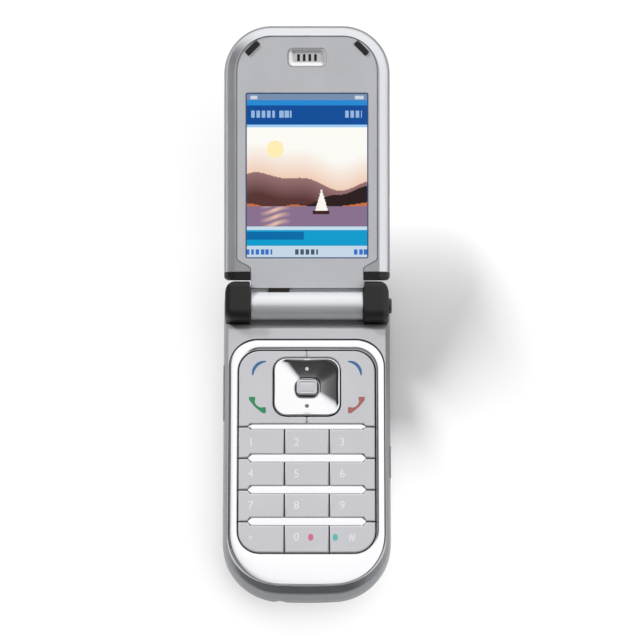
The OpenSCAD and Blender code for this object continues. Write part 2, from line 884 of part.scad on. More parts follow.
module bumper_space(gap, z0, z1) {
    both_sides()
        translate([bumper_x, bumper_y, 0]) rotate([0, 0, -45])
        plate(bumper_l + 2 * gap, bumper_w + 2 * gap, bumper_r + gap, z0, z1);
}

module lid_frame() {
    color([0.76, 0.77, 0.79])
        on_lid()
        difference() {
            union() {
                difference() {
                    lid_slice(lid_split, past);
                    translate([0, 0, lid_floor]) linear_extrude(lid_t)
                        outline(lid_cavity_w, neck_in + 0.4, panel_end - 1.5, 0.6, panel_r - 1);
                }
                both_sides() translate([bumper_x, bumper_y, lid_split])
                    cylinder(h = panel_z - lid_split, r = lid_boss_r);
            }
            translate([0, 0, panel_z]) linear_extrude(lid_t) panel_plan(panel_gap);
            neck_space();
            cap_space(fit);
            flex_slot();
            both_sides() lid_screw_space([bumper_x, bumper_y]);
            translate([0, camera_y, lid_split - past]) cylinder(h = lid_t, r = 2.6);
        }
}

module lid_screw_space(place) {
    translate([place[0], place[1], panel_z - screw_head_h - 0.15]) cylinder(h = lid_t, r = screw_head_r + fit);
    translate([place[0], place[1], lid_back + wall]) cylinder(h = lid_t, r = screw_r);
}

module lid_screws() {
    color([0.7, 0.7, 0.72])
        on_lid() both_sides()
        for (place = [[bumper_x, bumper_y], neck_screw])
            translate([place[0], place[1], 0]) {
                translate([0, 0, panel_z - screw_head_h - 0.1]) cylinder(h = screw_head_h, r = screw_head_r);
                translate([0, 0, lid_back + wall + 0.3])
                    cylinder(h = panel_z - screw_head_h / 2 - lid_back - wall - 0.4, r = screw_r);
            }
}

module inner_panel() {
    color([0.74, 0.75, 0.78])
        on_lid()
        difference() {
            translate([0, 0, panel_z]) linear_extrude(panel_t) panel_plan(0);
            translate([0, window_start + window_l / 2, 0])
                plate(window_w + 2 * fit, window_l + 2 * fit, 0.5, panel_z - past, past);
            translate([0, ear_slot_y, 0])
                plate(ear_slot_w + 2 * fit, ear_slot_l + 2 * fit, 1.5, panel_z - past, past);
            bumper_space(fit, panel_z - past, past);
        }
}

module display_window() {
    color([0.1, 0.35, 0.65])
        on_lid() translate([0, window_start + window_l / 2, 0])
        plate(window_w, window_l, 0.4, panel_z, panel_z + window_t);
}

module display_module() {
    color([0.3, 0.32, 0.36])
        on_lid()
        box(
            [-lid_cavity_w / 2 + 0.3, neck_in + 0.6, lid_floor],
            [lid_cavity_w / 2 - 0.3, window_start + window_l + 2, panel_z - 0.05]
        );
}

module earpiece_grille() {
    bars = 4;
    pitch = 2.1;
    color([0.3, 0.31, 0.33])
        on_lid() translate([0, ear_slot_y, 0])
        difference() {
            plate(ear_slot_w, ear_slot_l, 1.4, panel_z, panel_top - 0.2);
            for (i = [0:bars - 1]) translate([(i - (bars - 1) / 2) * pitch, -0.2, 0])
                plate(1.3, 2.4, 0.3, panel_z - past, past);
        }
}

receiver_rim = 0.6;
receiver_r = 1;
receiver_w = ear_slot_w + 2 * receiver_rim;
receiver_l = ear_slot_l + 3 * receiver_rim;
module earpiece_speaker() {
    color([0.2, 0.2, 0.21])
        on_lid() translate([0, ear_slot_y, 0])
        plate(receiver_w, receiver_l, receiver_r, lid_floor, panel_z - 0.05);
}

module lid_bumpers() {
    color([0.05, 0.05, 0.06])
        on_lid() bumper_space(0, panel_z, lid_face + bumper_out);
}

module lid_corner_caps() {
    color([0.1, 0.1, 0.11])
        on_lid()
        intersection() {
            lid_form();
            cap_space(0);
        }
}

module lid_board() {
    color([0.1, 0.35, 0.2])
        on_lid() translate([0, 0, lid_split - lid_board_t]) linear_extrude(lid_board_t)
        outline(lid_board_w, neck_in + 2.5, bumper_y - lid_boss_r - 1, 2, 2);
}

module lid_cover() {
    cavity_y0 = lid_start + wall + 1.2;
    color([0.78, 0.79, 0.81])
        on_lid()
        difference() {
            union() {
                difference() {
                    lid_slice(lid_back - past, lid_split);
                    translate([0, 0, lid_back + wall]) linear_extrude(lid_t)
                        outline(lid_w - 2 * wall - 5, cavity_y0, lid_l - wall - 2.5, 2, lid_r - 3.5);
                }
                both_sides() {
                    translate([bumper_x, bumper_y, lid_back + wall - fit])
                        cylinder(h = lid_split - lid_back - wall + fit, r = lid_boss_r);
                    translate([neck_screw[0], neck_screw[1], lid_back + wall / 2])
                        cylinder(h = neck_z - fit - lid_back - wall / 2, r = lid_boss_r);
                }
            }
            neck_space();
            cap_space(fit);
            both_sides() for (place = [[bumper_x, bumper_y], neck_screw]) lid_screw_space(place);
            translate([0, outer_y, 0]) {
                plate(outer_w + 2 * fit, outer_l + 2 * fit, outer_r + fit, lid_back - past, lid_back + 0.85);
                plate(outer_open_w, outer_open_l, 1, lid_back - past, lid_back + 2 * wall);
            }
            translate([0, camera_y, lid_back - past]) cylinder(h = 3 * wall, r = camera_r + fit);
        }
}

module outer_window() {
    color([0.08, 0.09, 0.11])
        on_lid() translate([0, outer_y, 0])
        plate(outer_w, outer_l, outer_r, lid_back + 0.05, lid_back + 0.85);
}

module outer_display() {
    color([0.3, 0.32, 0.36])
        on_lid() translate([0, outer_y, 0])
        plate(outer_w - 2 * outer_rim, outer_l - 2 * outer_rim, outer_rim, outer_display_z, lid_split - lid_board_t);
}

module camera_ring() {
    ring_low = lid_back - 0.2;
    color([0.85, 0.85, 0.87])
        on_lid() translate([0, camera_y, 0])
        difference() {
            translate([0, 0, ring_low]) cylinder(h = wall + 0.7, r = camera_r);
            translate([0, 0, ring_low - past]) cylinder(h = lid_t, r = camera_r / 2);
            translate([0, 0, ring_low - past]) cylinder(h = past + 0.5, r = camera_r * 0.75);
        }
}

module camera_lens() {
    color([0.05, 0.05, 0.08])
        on_lid() translate([0, camera_y, lid_back + 0.35]) cylinder(h = 0.6, r = camera_r / 2);
}

module camera_module() {
    color([0.15, 0.15, 0.16])
        on_lid() translate([0, camera_y, 0]) plate(8, 8, 0.4, lid_back + wall + 0.5, lid_split - lid_board_t);
}

// ---- Hinge pieces on the lid ----

flex_x0 = -11;
flex_x1 = -5;
flex_z = panel_z - 0.5;
flex_gap = 0.3;
module flex_slot() {
    box([flex_x0 - flex_gap, 0, flex_z - flex_gap], [flex_x1 + flex_gap, neck_in + past, past]);
}

module hinge_barrel() {
    color([0.82, 0.83, 0.85])
        on_lid()
        difference() {
            union() {
                rod_x(barrel_r, -barrel_l / 2, barrel_l / 2);
                box([-neck_w / 2, 2, neck_z], [neck_w / 2, neck_in, panel_z - 0.05]);
            }
            rod_x(barrel_bore_r, -barrel_l / 2 + barrel_end, barrel_l);
            rod_x(pin_r + pin_gap, -barrel_l, 0);
            flex_slot();
            both_sides() lid_screw_space(neck_screw);
        }
}

module hinge_unit() {
    color([0.65, 0.65, 0.68])
        on_lid()
        difference() {
            rod_x(barrel_bore_r - 0.05, barrel_l / 2 - 0.2 - unit_l, barrel_l / 2 - 0.2);
            rod_x(shaft_r + pin_gap, barrel_l / 2 - cam_l - 0.3, barrel_l);
        }
}

module hinge_flex() {
    skin = 0.3;
    roll_r = barrel_bore_r - 0.4;
    color([0.75, 0.45, 0.15])
        on_lid() {
            difference() {
                rod_x(roll_r, flex_x0, flex_x1);
                rod_x(roll_r - skin, flex_x0 - past, flex_x1 + past);
            }
            box([flex_x0, roll_r - skin - 0.6, flex_z - skin / 2], [flex_x1, neck_in + 0.4, flex_z + skin / 2]);
        }
}

rear_shell();
front_cover();
keypad_ring();
row_bars();
keypad_mat();
key_domes();
main_board();
shield_cans();
battery_contacts();
charge_socket();
microphone();
loudspeaker();
vibration_motor();
antenna();
card_holders();
battery();
left_ear();
right_ear();
hinge_pins();
base_screws();
battery_cover();
key_1();
key_2();
key_3();
key_4();
key_5();
key_6();
key_7();
key_8();
key_9();
key_star();
key_0();
key_hash();
left_function_key();
right_function_key();
nav_gimbal();
nav_pad();
select_key();
open_button();
volume_key();
camera_key();
hinge_barrel();
hinge_unit();
hinge_flex();
lid_frame();
inner_panel();
display_window();
display_module();
earpiece_grille();
earpiece_speaker();
lid_bumpers();
lid_corner_caps();
lid_board();
lid_cover();
outer_window();
outer_display();
camera_ring();
camera_lens();
camera_module();
lid_screws();
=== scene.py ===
import math

import bmesh
import bpy
import numpy as np
from mathutils import Matrix, Vector


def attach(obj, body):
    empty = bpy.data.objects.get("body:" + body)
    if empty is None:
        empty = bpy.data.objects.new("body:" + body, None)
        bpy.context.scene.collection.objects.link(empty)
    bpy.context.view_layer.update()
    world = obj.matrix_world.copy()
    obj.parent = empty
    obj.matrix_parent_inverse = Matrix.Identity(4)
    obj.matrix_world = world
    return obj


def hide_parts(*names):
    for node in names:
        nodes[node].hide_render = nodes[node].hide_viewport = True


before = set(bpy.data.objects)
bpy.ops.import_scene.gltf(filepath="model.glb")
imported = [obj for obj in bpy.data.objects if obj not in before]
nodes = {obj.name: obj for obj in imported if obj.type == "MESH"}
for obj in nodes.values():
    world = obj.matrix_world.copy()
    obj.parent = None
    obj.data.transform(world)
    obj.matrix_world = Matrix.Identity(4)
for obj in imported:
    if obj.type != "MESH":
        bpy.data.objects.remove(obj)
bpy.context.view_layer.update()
scene = bpy.context.scene
mm = 0.001

# ---- Camera ----
# A long lens looks straight at the inner face of the open lid, which leans back 15 degrees.
# The keypad half then leans 15 degrees towards the lens at the chin, as in the photograph.
axis_y = 38.65
axis_z = 11.35
lift = math.radians(15)
facing = Vector((0, -math.sin(lift), math.cos(lift)))
along = Vector((0, math.cos(lift), math.sin(lift)))
camera_far = 1100
view_width = 181.8
aim = Vector((3.7, axis_y - 3.85, 10.3))
lens = bpy.data.cameras.new("camera")
lens.sensor_width = 36
lens.lens = lens.sensor_width * camera_far / view_width
camera = bpy.data.objects.new("camera", lens)
scene.collection.objects.link(camera)
turn = Matrix((Vector((1, 0, 0)), along, facing)).transposed().to_4x4()
camera.matrix_world = Matrix.Translation((aim + facing * camera_far) * mm) @ turn
scene.camera = camera
scene.view_settings.view_transform = "Standard"

# ---- Floor and studio ----
# A seamless pale sheet under the phone and soft lamps, as on a light table.
# The room is bright above the hinge and on the right, and darker below the chin.
floor_mesh = bpy.data.meshes.new("floor")
reach = 1.6
floor_mesh.from_pydata(
    [(-reach, -reach, 0), (reach, -reach, 0), (reach, reach, 0), (-reach, reach, 0)], [], [(0, 1, 2, 3)]
)
floor = bpy.data.objects.new("floor", floor_mesh)
scene.collection.objects.link(floor)


def wire(tree, kind, settings=(), **inputs):
    """A node of a tree with its settings, whose inputs are values or other nodes' outputs."""
    made = tree.nodes.new(kind)
    for key, value in dict(settings).items():
        setattr(made, key, value)
    for key, value in inputs.items():
        name = key.rstrip("_").replace("_", " ")
        socket = made.inputs[int(key[1:])] if key[0] == "i" and key[1:].isdigit() else made.inputs[name]
        if isinstance(value, bpy.types.NodeSocket):
            tree.links.new(value, socket)
        else:
            socket.default_value = value
    return made


def flow(tree, kind, settings=(), **inputs):
    """The first output of such a node."""
    return wire(tree, kind, settings, **inputs).outputs[0]


def fresh_material(name):
    """An empty node material with its shader, and the shader's tree."""
    material = bpy.data.materials.new(name)
    material.use_nodes = True
    tree = material.node_tree
    return material, tree, tree.nodes["Principled BSDF"]


sheet, tree, shader = fresh_material("floor_sheet")
place = wire(tree, "ShaderNodeTexCoord").outputs["Object"]
mottle = flow(tree, "ShaderNodeTexNoise", Vector=place, Scale=3.0)
tint = flow(tree, "ShaderNodeMapRange", Value=mottle, To_Min=0.90, To_Max=0.92)
pale = flow(tree, "ShaderNodeCombineColor", Red=tint, Green=tint, Blue=tint)
tree.links.new(pale, shader.inputs["Base Color"])
shader.inputs["Roughness"].default_value = 0.9
floor_mesh.materials.append(sheet)

lean_low = -1.2
lean_high = 0.3
lean_tones = ((-0.8, 0.16), (-0.6, 0.03), (-0.28, 0.035), (-0.17, 0.42), (-0.05, 0.7), (0.12, 0.95))
room = bpy.data.worlds.new("room")
room.use_nodes = True
scene.world = room
tree = room.node_tree
direction = wire(tree, "ShaderNodeTexCoord").outputs["Generated"]
part = wire(tree, "ShaderNodeSeparateXYZ", Vector=direction).outputs
leaning = flow(tree, "ShaderNodeMath", {"operation": "ADD"}, i0=part["Y"], i1=part["X"])
band = flow(tree, "ShaderNodeMapRange", Value=leaning, From_Min=lean_low, From_Max=lean_high)
ramp = wire(tree, "ShaderNodeValToRGB", Fac=band)
room_tones = ramp.color_ramp.elements
room_tones[0].color = (0.26, 0.26, 0.27, 1)
room_tones[1].color = (1.0, 1.0, 1.0, 1)
for lean, tone in lean_tones:
    share = (lean - lean_low) / (lean_high - lean_low)
    room_tones.new(share).color = (tone, tone, tone * 1.02, 1)
rising = {"interpolation_type": "SMOOTHSTEP"}
above = flow(tree, "ShaderNodeMapRange", rising, Value=part["Z"], From_Max=0.24, To_Min=0.3, To_Max=1.05)
tree.links.new(ramp.outputs["Color"], tree.nodes["Background"].inputs["Color"])
tree.links.new(above, tree.nodes["Background"].inputs["Strength"])


def sun(name, power, blur, towards):
    """A far lamp with soft edges that shows in no gloss."""
    light = bpy.data.lights.new(name, "SUN")
    light.energy = power
    light.angle = math.radians(blur)
    holder = bpy.data.objects.new(name, light)
    scene.collection.objects.link(holder)
    holder.rotation_euler = Vector(towards).to_track_quat("-Z", "Y").to_euler()
    holder.visible_glossy = False
    return holder


# One lamp lights the sheet alone, where only the raised lid throws a shadow; the other lights the phone.
only_sheet = bpy.data.collections.new("only_sheet")
only_sheet.objects.link(floor)
all_but_sheet = bpy.data.collections.new("all_but_sheet")
all_but_sheet.objects.link(floor)
all_but_sheet.collection_objects[0].light_linking.link_state = "EXCLUDE"
shadow_throwers = bpy.data.collections.new("shadow_throwers")
sheet_lamp = sun("sheet_lamp", 5.7, 13, (0.47, -0.86, -0.34))
sheet_lamp.light_linking.receiver_collection = only_sheet
sheet_lamp.light_linking.blocker_collection = shadow_throwers
key_lamp = sun("key_lamp", 3.1, 9, (0.62, -0.6, -0.51))
key_lamp.light_linking.receiver_collection = all_but_sheet

# ---- Front cover ----
# Front half of the keypad housing: moulded ABS under metallic silver lacquer, with a thin outer skin.
# It has the seat of the ring, the window of the keys, and a rounded land behind them that faces the hinge.
body_w = 47.2
base_t = 11.2
chin_y = -45.65
rear_y = 45.65
chin_r = 16.6
chin_bow = 140
corner_rear_r = 4.8
face_rear = 33.95
shelf_z = 6.9
split_z = 5.6
seam = 0.12
side_edge = [(3.5, 0), (1.2, 1.6), (0, 4.2), (0, 7.4), (0.5, 9.6), (1.35, 11.2)]
chin_edge = [(4.5, 0), (1.5, 1.6), (0, 4.2), (0, 6.6), (0.7, 8.4), (1.7, 10.1), (3.4, 11.2)]
rear_round = 1.6


def smooth_value(points, at):
    """Value at a height of the smooth line through (value, height) points, never below zero."""
    value, height = np.array(points, float).T
    slope = np.gradient(value, height)
    i = int(np.clip(np.searchsorted(height, at) - 1, 0, len(height) - 2))
    step = height[i + 1] - height[i]
    t = (at - height[i]) / step
    low = (2 * t**3 - 3 * t**2 + 1) * value[i] + (t**3 - 2 * t**2 + t) * step * slope[i]
    high = (3 * t**2 - 2 * t**3) * value[i + 1] + (t**3 - t**2) * step * slope[i + 1]
    return max(0.0, low + high)


def outline(half, y0, y1, low, high, bow=0.0, arc=16, cap=10, side=16):
    """Closed plan outline from the middle of its low end round to the right.

    It always has the same number of points. low and high are the corner radii across and along at
    each end, and bow is the radius of the low end."""
    x0 = half - low[0]
    x1 = half - high[0]
    sag = x0 * x0 / (2 * bow) if bow else 0.0
    y_low = y0 + sag + low[1]
    y_high = y1 - high[1]
    points = []
    for i in range(cap):
        x = x0 * i / cap
        points.append((x, y0 + (x * x / (2 * bow) if bow else 0.0)))
    for i in range(arc + 1):
        a = math.pi / 2 * i / arc
        points.append((x0 + low[0] * math.sin(a), y_low - low[1] * math.cos(a)))
    for i in range(1, side):
        points.append((half, y_low + (y_high - y_low) * i / side))
    for i in range(arc + 1):
        a = math.pi / 2 * i / arc
        points.append((x1 + high[0] * math.cos(a), y_high + high[1] * math.sin(a)))
    for i in range(1, cap + 1):
        points.append((x1 * (1 - i / cap), y1))
    return points + [(-x, y) for x, y in reversed(points[1:-1])]


def at_height(points, z):
    return [(x, y, z) for x, y in points]


def circle(r, sides, x=0.0, y=0.0):
    return [(x + r * math.cos(a), y + r * math.sin(a)) for a in np.linspace(0, 2 * math.pi, sides, False)]


def loft(rings, closed=False):
    """Skin over outlines with the same number of points: capped at both ends, or closed into a ring."""
    count = len(rings[0])
    vertices = [p for ring in rings for p in ring]
    faces = []
    for k in range(len(rings) if closed else len(rings) - 1):
        a = k * count
        b = (k + 1) % len(rings) * count
        faces += [(a + i, a + (i + 1) % count, b + (i + 1) % count, b + i) for i in range(count)]
    if not closed:
        faces.append(tuple(reversed(range(count))))
        faces.append(tuple(range((len(rings) - 1) * count, len(rings) * count)))
    return vertices, faces


def prism(points, z0, z1):
    return loft([at_height(points, z0), at_height(points, z1)])


def bar_along_x(profile, x0, x1):
    return loft([[(x, y, z) for y, z in profile] for x in (x0, x1)])


def bar_along_y(profile, y0, y1):
    return loft([[(x, y, z) for x, z in profile] for y in (y0, y1)])


def block(low, high):
    ends = [(low[1], low[2]), (high[1], low[2]), (high[1], high[2]), (low[1], high[2])]
    return bar_along_x(ends, low[0], high[0])


def round_bar(x, y, r, z0, z1):
    return prism(circle(r, 40, x, y), z0, z1)


def several(*solids):
    """The solids as one."""
    vertices = []
    faces = []
    for points, sides in solids:
        faces += [tuple(len(vertices) + i for i in f) for f in sides]
        vertices += points
    return vertices, faces


def mirrored(solid):
    vertices, faces = solid
    return [(-x, y, z) for x, y, z in vertices], faces


def both_sides(solid):
    return several(solid, mirrored(solid))


level = Matrix.Identity(4)
on_lid = Matrix.Translation((0, axis_y, axis_z)) @ Matrix.Rotation(lift, 4, "X")


def to_mesh(name, solid, place=level):
    """Mesh in metres of a solid in millimetres, with its faces pointing outwards."""
    mesh = bpy.data.meshes.new(name)
    mesh.from_pydata([place @ Vector(p) * mm for p in solid[0]], [], solid[1])
    shape = bmesh.new()
    shape.from_mesh(mesh)
    bmesh.ops.remove_doubles(shape, verts=shape.verts, dist=1e-7)
    bmesh.ops.recalc_face_normals(shape, faces=shape.faces)
    shape.to_mesh(mesh)
    shape.free()
    return mesh


def settled(holder):
    """The plain mesh that an object's modifiers give; the object goes."""
    bpy.context.view_layer.update()
    mesh = bpy.data.meshes.new_from_object(holder.evaluated_get(bpy.context.evaluated_depsgraph_get()))
    bpy.data.objects.remove(holder)
    return mesh


def carved(mesh, *steps, place=level):
    """The mesh after exact cuts and unions, each a pair of an operation and a solid."""
    holder = bpy.data.objects.new("carved", mesh)
    scene.collection.objects.link(holder)
    tools = []
    for how, solid in steps:
        tool = bpy.data.objects.new("tool", to_mesh("tool", solid, place))
        scene.collection.objects.link(tool)
        tools.append(tool)
        cut = holder.modifiers.new("cut", "BOOLEAN")
        cut.operation = how
        cut.solver = "EXACT"
        cut.object = tool
    result = settled(holder)
    for tool in tools:
        bpy.data.objects.remove(tool)
    return result


def eased(mesh, width, limit=35, segments=2):
    """The mesh with its sharp edges rounded by a small radius in millimetres."""
    holder = bpy.data.objects.new("eased", mesh)
    scene.collection.objects.link(holder)
    edge = holder.modifiers.new("edge", "BEVEL")
    edge.width = width * mm
    edge.segments = segments
    edge.limit_method = "ANGLE"
    edge.angle_limit = math.radians(limit)
    edge.use_clamp_overlap = True
    edge.miter_outer = "MITER_ARC"
    return settled(holder)


def merged_copy(node):
    """A copy of a CAD node's mesh with its loose triangles joined and its flat faces whole."""
    shape = bmesh.new()
    shape.from_mesh(nodes[node].data)
    bmesh.ops.remove_doubles(shape, verts=shape.verts, dist=2e-6)
    bmesh.ops.dissolve_limit(shape, angle_limit=math.radians(1), verts=shape.verts, edges=shape.edges)
    mesh = bpy.data.meshes.new(node)
    shape.to_mesh(mesh)
    shape.free()
    return mesh


def piece(name, mesh, material, body, finish, *stands_for, smooth=32):
    """A finished piece with smooth faces and crisp edges, on its body, in place of what it stands for."""
    marks = [face.material_index for face in mesh.polygons]
    mesh.materials.clear()
    for m in material if isinstance(material, tuple) else (material,):
        mesh.materials.append(m)
    mesh.polygons.foreach_set("material_index", marks)
    mesh.polygons.foreach_set("use_smooth", [True] * len(mesh.polygons))
    mesh.set_sharp_from_angle(angle=math.radians(smooth))
    holder = bpy.data.objects.new(name, mesh)
    scene.collection.objects.link(holder)
    even = holder.modifiers.new("even", "WEIGHTED_NORMAL")
    even.keep_sharp = True
    made = bpy.data.objects.new(name, settled(holder))
    made.data.name = name
    scene.collection.objects.link(made)
    if body == "lid":
        shadow_throwers.objects.link(made)
    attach(made, body)
    if stands_for:
        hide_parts(*stands_for)
    return made


def finish_of(
    name, colour, rough, grain, vary=0.06, bump=0.0, metallic=0.0, coat=0.0, stretch=(1, 1, 1), fine=None
):
    """A painted, plated or moulded finish whose colour and roughness drift a little, over a fine grain.

    grain is the size in millimetres of what the surface shows, and fine that of the flecks in it."""
    material, tree, shader = fresh_material(name)
    place = wire(tree, "ShaderNodeTexCoord").outputs["Object"]
    laid = flow(tree, "ShaderNodeMapping", Vector=place, Scale=stretch)
    drift = flow(tree, "ShaderNodeTexNoise", Vector=laid, Scale=90.0, Detail=3.0)
    grains = flow(tree, "ShaderNodeTexNoise", Vector=laid, Scale=1 / (grain * mm), Detail=2.0)
    flecks = flow(tree, "ShaderNodeTexVoronoi", Vector=laid, Scale=1 / ((fine or grain) * mm))
    mixed = flow(tree, "ShaderNodeMath", {"operation": "MULTIPLY_ADD"}, i0=flecks, i1=0.5, i2=drift)
    shades = flow(tree, "ShaderNodeMapRange", Value=mixed, From_Min=0.35, From_Max=1.05)
    tone = wire(tree, "ShaderNodeValToRGB", Fac=shades)
    tone.color_ramp.elements[0].color = (*[c * (1 - vary) for c in colour], 1)
    tone.color_ramp.elements[1].color = (*[min(1.0, c * (1 + vary)) for c in colour], 1)
    tree.links.new(tone.outputs["Color"], shader.inputs["Base Color"])
    dull = flow(tree, "ShaderNodeMapRange", Value=drift, To_Min=rough * 0.85, To_Max=rough * 1.15)
    tree.links.new(dull, shader.inputs["Roughness"])
    if bump:
        relief = flow(tree, "ShaderNodeBump", Height=grains, Strength=1.0, Distance=bump * mm)
        tree.links.new(relief, shader.inputs["Normal"])
    shader.inputs["Metallic"].default_value = metallic
    shader.inputs["Coat Weight"].default_value = coat
    shader.inputs["Coat Roughness"].default_value = 0.08
    return material


silver_paint = finish_of("silver_paint", (0.76, 0.77, 0.80), 0.3, 0.25, 0.04, 0.0005, 0.85, 0.2, fine=0.12)
# Painted shade: a darker copy of the silver lacquer for the base's top and land, and for the backs of the
# rear shell and the lid.
shade_painted_silver = finish_of("shade_painted_silver", (0.57, 0.57, 0.59), 0.4, 0.25, 0.05, 0.0008, 0.6, 0.1, fine=0.12)
# Painted shade: the flank colour is a darker copy of the silver lacquer for the steep sides of the shells and
# the side keys.
shade_painted_flank = finish_of("shade_painted_flank", (0.27, 0.275, 0.29), 0.36, 0.25, 0.05, 0.0005, 0.75, 0.1, fine=0.12)


def base_ring(z, inset=0.0):
    """Outline of the keypad half at a height, with its smooth side, chin and rear edges."""
    side_in = smooth_value(side_edge, z) + inset
    chin_in = smooth_value(chin_edge, z) + inset
    drop = max(0.0, 1 - z / rear_round)
    rear = rear_y - inset - rear_round * (1 - math.sqrt(1 - drop * drop))
    centre = body_w / 2 - chin_r
    low = (chin_r - side_in, chin_r - chin_in - centre * centre / (2 * chin_bow))
    high = (corner_rear_r, corner_rear_r)
    return at_height(outline(body_w / 2 - side_in, chin_y + chin_in, rear, low, high, chin_bow), z)


wall_levels = (6.2, 6.8, 7.3, 7.8, 8.2, 8.6, 9.0, 9.4, 9.8, 10.1, 10.4, 10.65, 10.85, 11.0, 11.1, base_t)
upper = [base_ring(split_z, seam), base_ring(split_z + seam)] + [base_ring(z) for z in wall_levels]
land_r = 2.6
beyond = 2
rear_step = [(face_rear - land_r, base_t + beyond)]
for a in np.linspace(0, math.pi / 2, 10):
    rear_step.append((face_rear - land_r + land_r * math.sin(a), base_t - land_r + land_r * math.cos(a)))
rear_step += [(face_rear, shelf_z), (rear_y + beyond, shelf_z), (rear_y + beyond, base_t + beyond)]
cavity_chin = -42.85
cavity_half = 21.4
cavity_r = 14.6
plate_z = 8.7
below_split = 4
above_face = 14
field_half = 19.4
field_chin = -32.75
field_rear = 25.85
field_r = 6.2


def field_plan(grow):
    """Window of the keys, grown by a gap."""
    r = field_r + grow
    return outline(field_half + grow, field_chin - grow, field_rear + grow, (r, r), (r, r))


ring_half = 22.0
ring_chin = -42.05
ring_rear = 28.95
ring_chin_r = 14.7
ring_rear_r = 8
ring_bow = 136.4
bow_drop = 0.22


def ring_plan(grow):
    """Outer outline of the keypad's ring, grown by a gap."""
    low = (ring_chin_r + grow, ring_chin_r + grow - bow_drop)
    high = (ring_rear_r + grow, ring_rear_r + grow)
    return outline(ring_half + grow, ring_chin - grow, ring_rear + grow, low, high, ring_bow)


chin_screw = (14.6, -37.95)
rear_screw = (18.8, 40.45)
boss_r = 2.2
shank_r = 0.7
bore_top = 8.6
ring_z = 9.7
volume_place = (-body_w / 2, 14, 7.5, 16)
camera_key_place = (body_w / 2, -6, 7.5, 9)


def seat(place, r, z0, z1):
    """A round bar and its mirror image."""
    return both_sides(round_bar(*place, r, z0, z1))


def at_screws(r, low, chin_top, rear_top):
    """A round bar at each of the four screws of the base."""
    at_chin = round_bar(*chin_screw, r, low, chin_top)
    return both_sides(several(at_chin, round_bar(*rear_screw, r, low, rear_top)))


def side_hole(place):
    """Room for a side key: its middle and length, with a little play round it."""
    x, y, z, length = place
    half = length / 2 + 0.1
    return block((x - 3, y - half, z - 1.3), (x + 3, y + half, z + 1.3))


cavity = outline(cavity_half, cavity_chin, face_rear - 1.2, (cavity_r, cavity_r), (2, 2))
front = carved(
    to_mesh("front_cover", loft(upper)),
    ("DIFFERENCE", bar_along_x(rear_step, -30, 30)),
    ("DIFFERENCE", prism(cavity, below_split, plate_z)),
    ("UNION", seat(chin_screw, boss_r, split_z, plate_z + 0.4)),
    ("DIFFERENCE", prism(field_plan(0.1), below_split, above_face)),
    ("DIFFERENCE", prism(ring_plan(0.12), ring_z, above_face)),
    ("DIFFERENCE", at_screws(shank_r, below_split, bore_top, bore_top)),
    ("DIFFERENCE", several(side_hole(volume_place), side_hole(camera_key_place))),
)


def with_shaded_flanks(mesh, up, steepest, rearmost=2.0):
    """The mesh whose sides take the second material, a darker copy of the first that paints shade on them.

    They are all faces steeper than a slope, apart from those that look to the rear past a limit."""
    for face in mesh.polygons:
        face.material_index = int(abs(face.normal.dot(up)) < steepest and face.normal.y < rearmost)
    return mesh


upright = Vector((0, 0, 1))
# Painted shade: all but the flat top of the front cover takes the darker flank colour.
front = with_shaded_flanks(front, upright, 0.93, 0.3)
piece("front_housing", front, (shade_painted_silver, shade_painted_flank), "base", "silver_shell", "front_cover")

# ---- Rear shell ----
# Back half of the keypad housing, moulded with the walls of the battery bay and four screw bosses.
# Same silver lacquer, in darker copies that paint shade on it; slots for the loudspeaker, and round holes for
# the charger and the microphone.
edge_levels = (0, 0.08, 0.25, 0.5, 0.8, 1.15, 1.6, 2.1)
lower = [base_ring(z) for z in edge_levels + (2.7, 3.4, 4.2, 5.0)]
lower += [base_ring(split_z - seam), base_ring(split_z, seam)]
floor_z = 2.2
deck_z = 6.2
bay_half = 17.25
bay_chin = -33.25
bay_rear = 17.25
bay_low = 1.35
bay_wall = 1.2
cover_half = 19.0
cover_rear = 22.0
cover_t = 1.2
lip = 0.8
lip_z = 0.65
slide_gap = 0.15
past_chin = -48


def cover_profile(gap):
    """Section of the sliding cover, or with a gap that of its room: a plate with a lip along each side."""
    inner = cover_half + gap
    outer = inner + lip
    top = cover_t + gap
    low = lip_z - gap
    plate = [(-inner, -1), (inner, -1), (inner, low), (outer, low)]
    return plate + [(outer, top), (-outer, top), (-outer, low), (-inner, low)]


def grille_slots(x, y, count, pitch, length, width, z0, z1):
    """A row of round-ended slots across the phone."""
    r = width / 2
    end = (r * 0.98, r * 0.98)
    one = outline(length / 2, -r, r, end, end, arc=5, cap=2, side=2)
    first = y - pitch * (count - 1) / 2
    return several(*[prism([(x + a, first + pitch * i + b) for a, b in one], z0, z1) for i in range(count)])


def chin_hole(x, z, r):
    """A round hole through the wall of the chin."""
    return bar_along_y(circle(r, 32, x, z), -47, -40.9)


sink_r = 1.4
chin_sink = 2.5
rear_sink = 1.15
below_back = -1
above_split = 9
wall_top = 6.8
rear_cavity = outline(cavity_half, cavity_chin, 44.45, (cavity_r, cavity_r), (3.6, 3.6))
rear_room = block((-20.4, 23.5, 1.2), (20.4, 43.45, above_split))
bay_walls = block((-19.8, bay_chin - bay_wall, bay_low), (19.8, bay_rear + bay_wall, wall_top))
bay_room = block((-bay_half, bay_chin, below_back), (bay_half, bay_rear, deck_z))
contact_slot = block((-4.6, bay_rear - 0.5, 1.9), (4.6, bay_rear + 2.7, wall_top))
speaker_slots = grille_slots(x=-10.5, y=28.7, count=5, pitch=1.8, length=6, width=0.8, z0=-1, z1=3)
charger_hole = chin_hole(x=-7.5, z=4.1, r=1.7)
microphone_hole = chin_hole(x=7.0, z=3.0, r=0.5)
# Painted shade: a still darker copy of the lacquer for the rear shell's steep sides.
shade_painted_rear_flank = finish_of("shade_painted_rear_flank", (0.17, 0.175, 0.185), 0.38, 0.25, 0.05, 0.0005, 0.7, 0.1, fine=0.12)
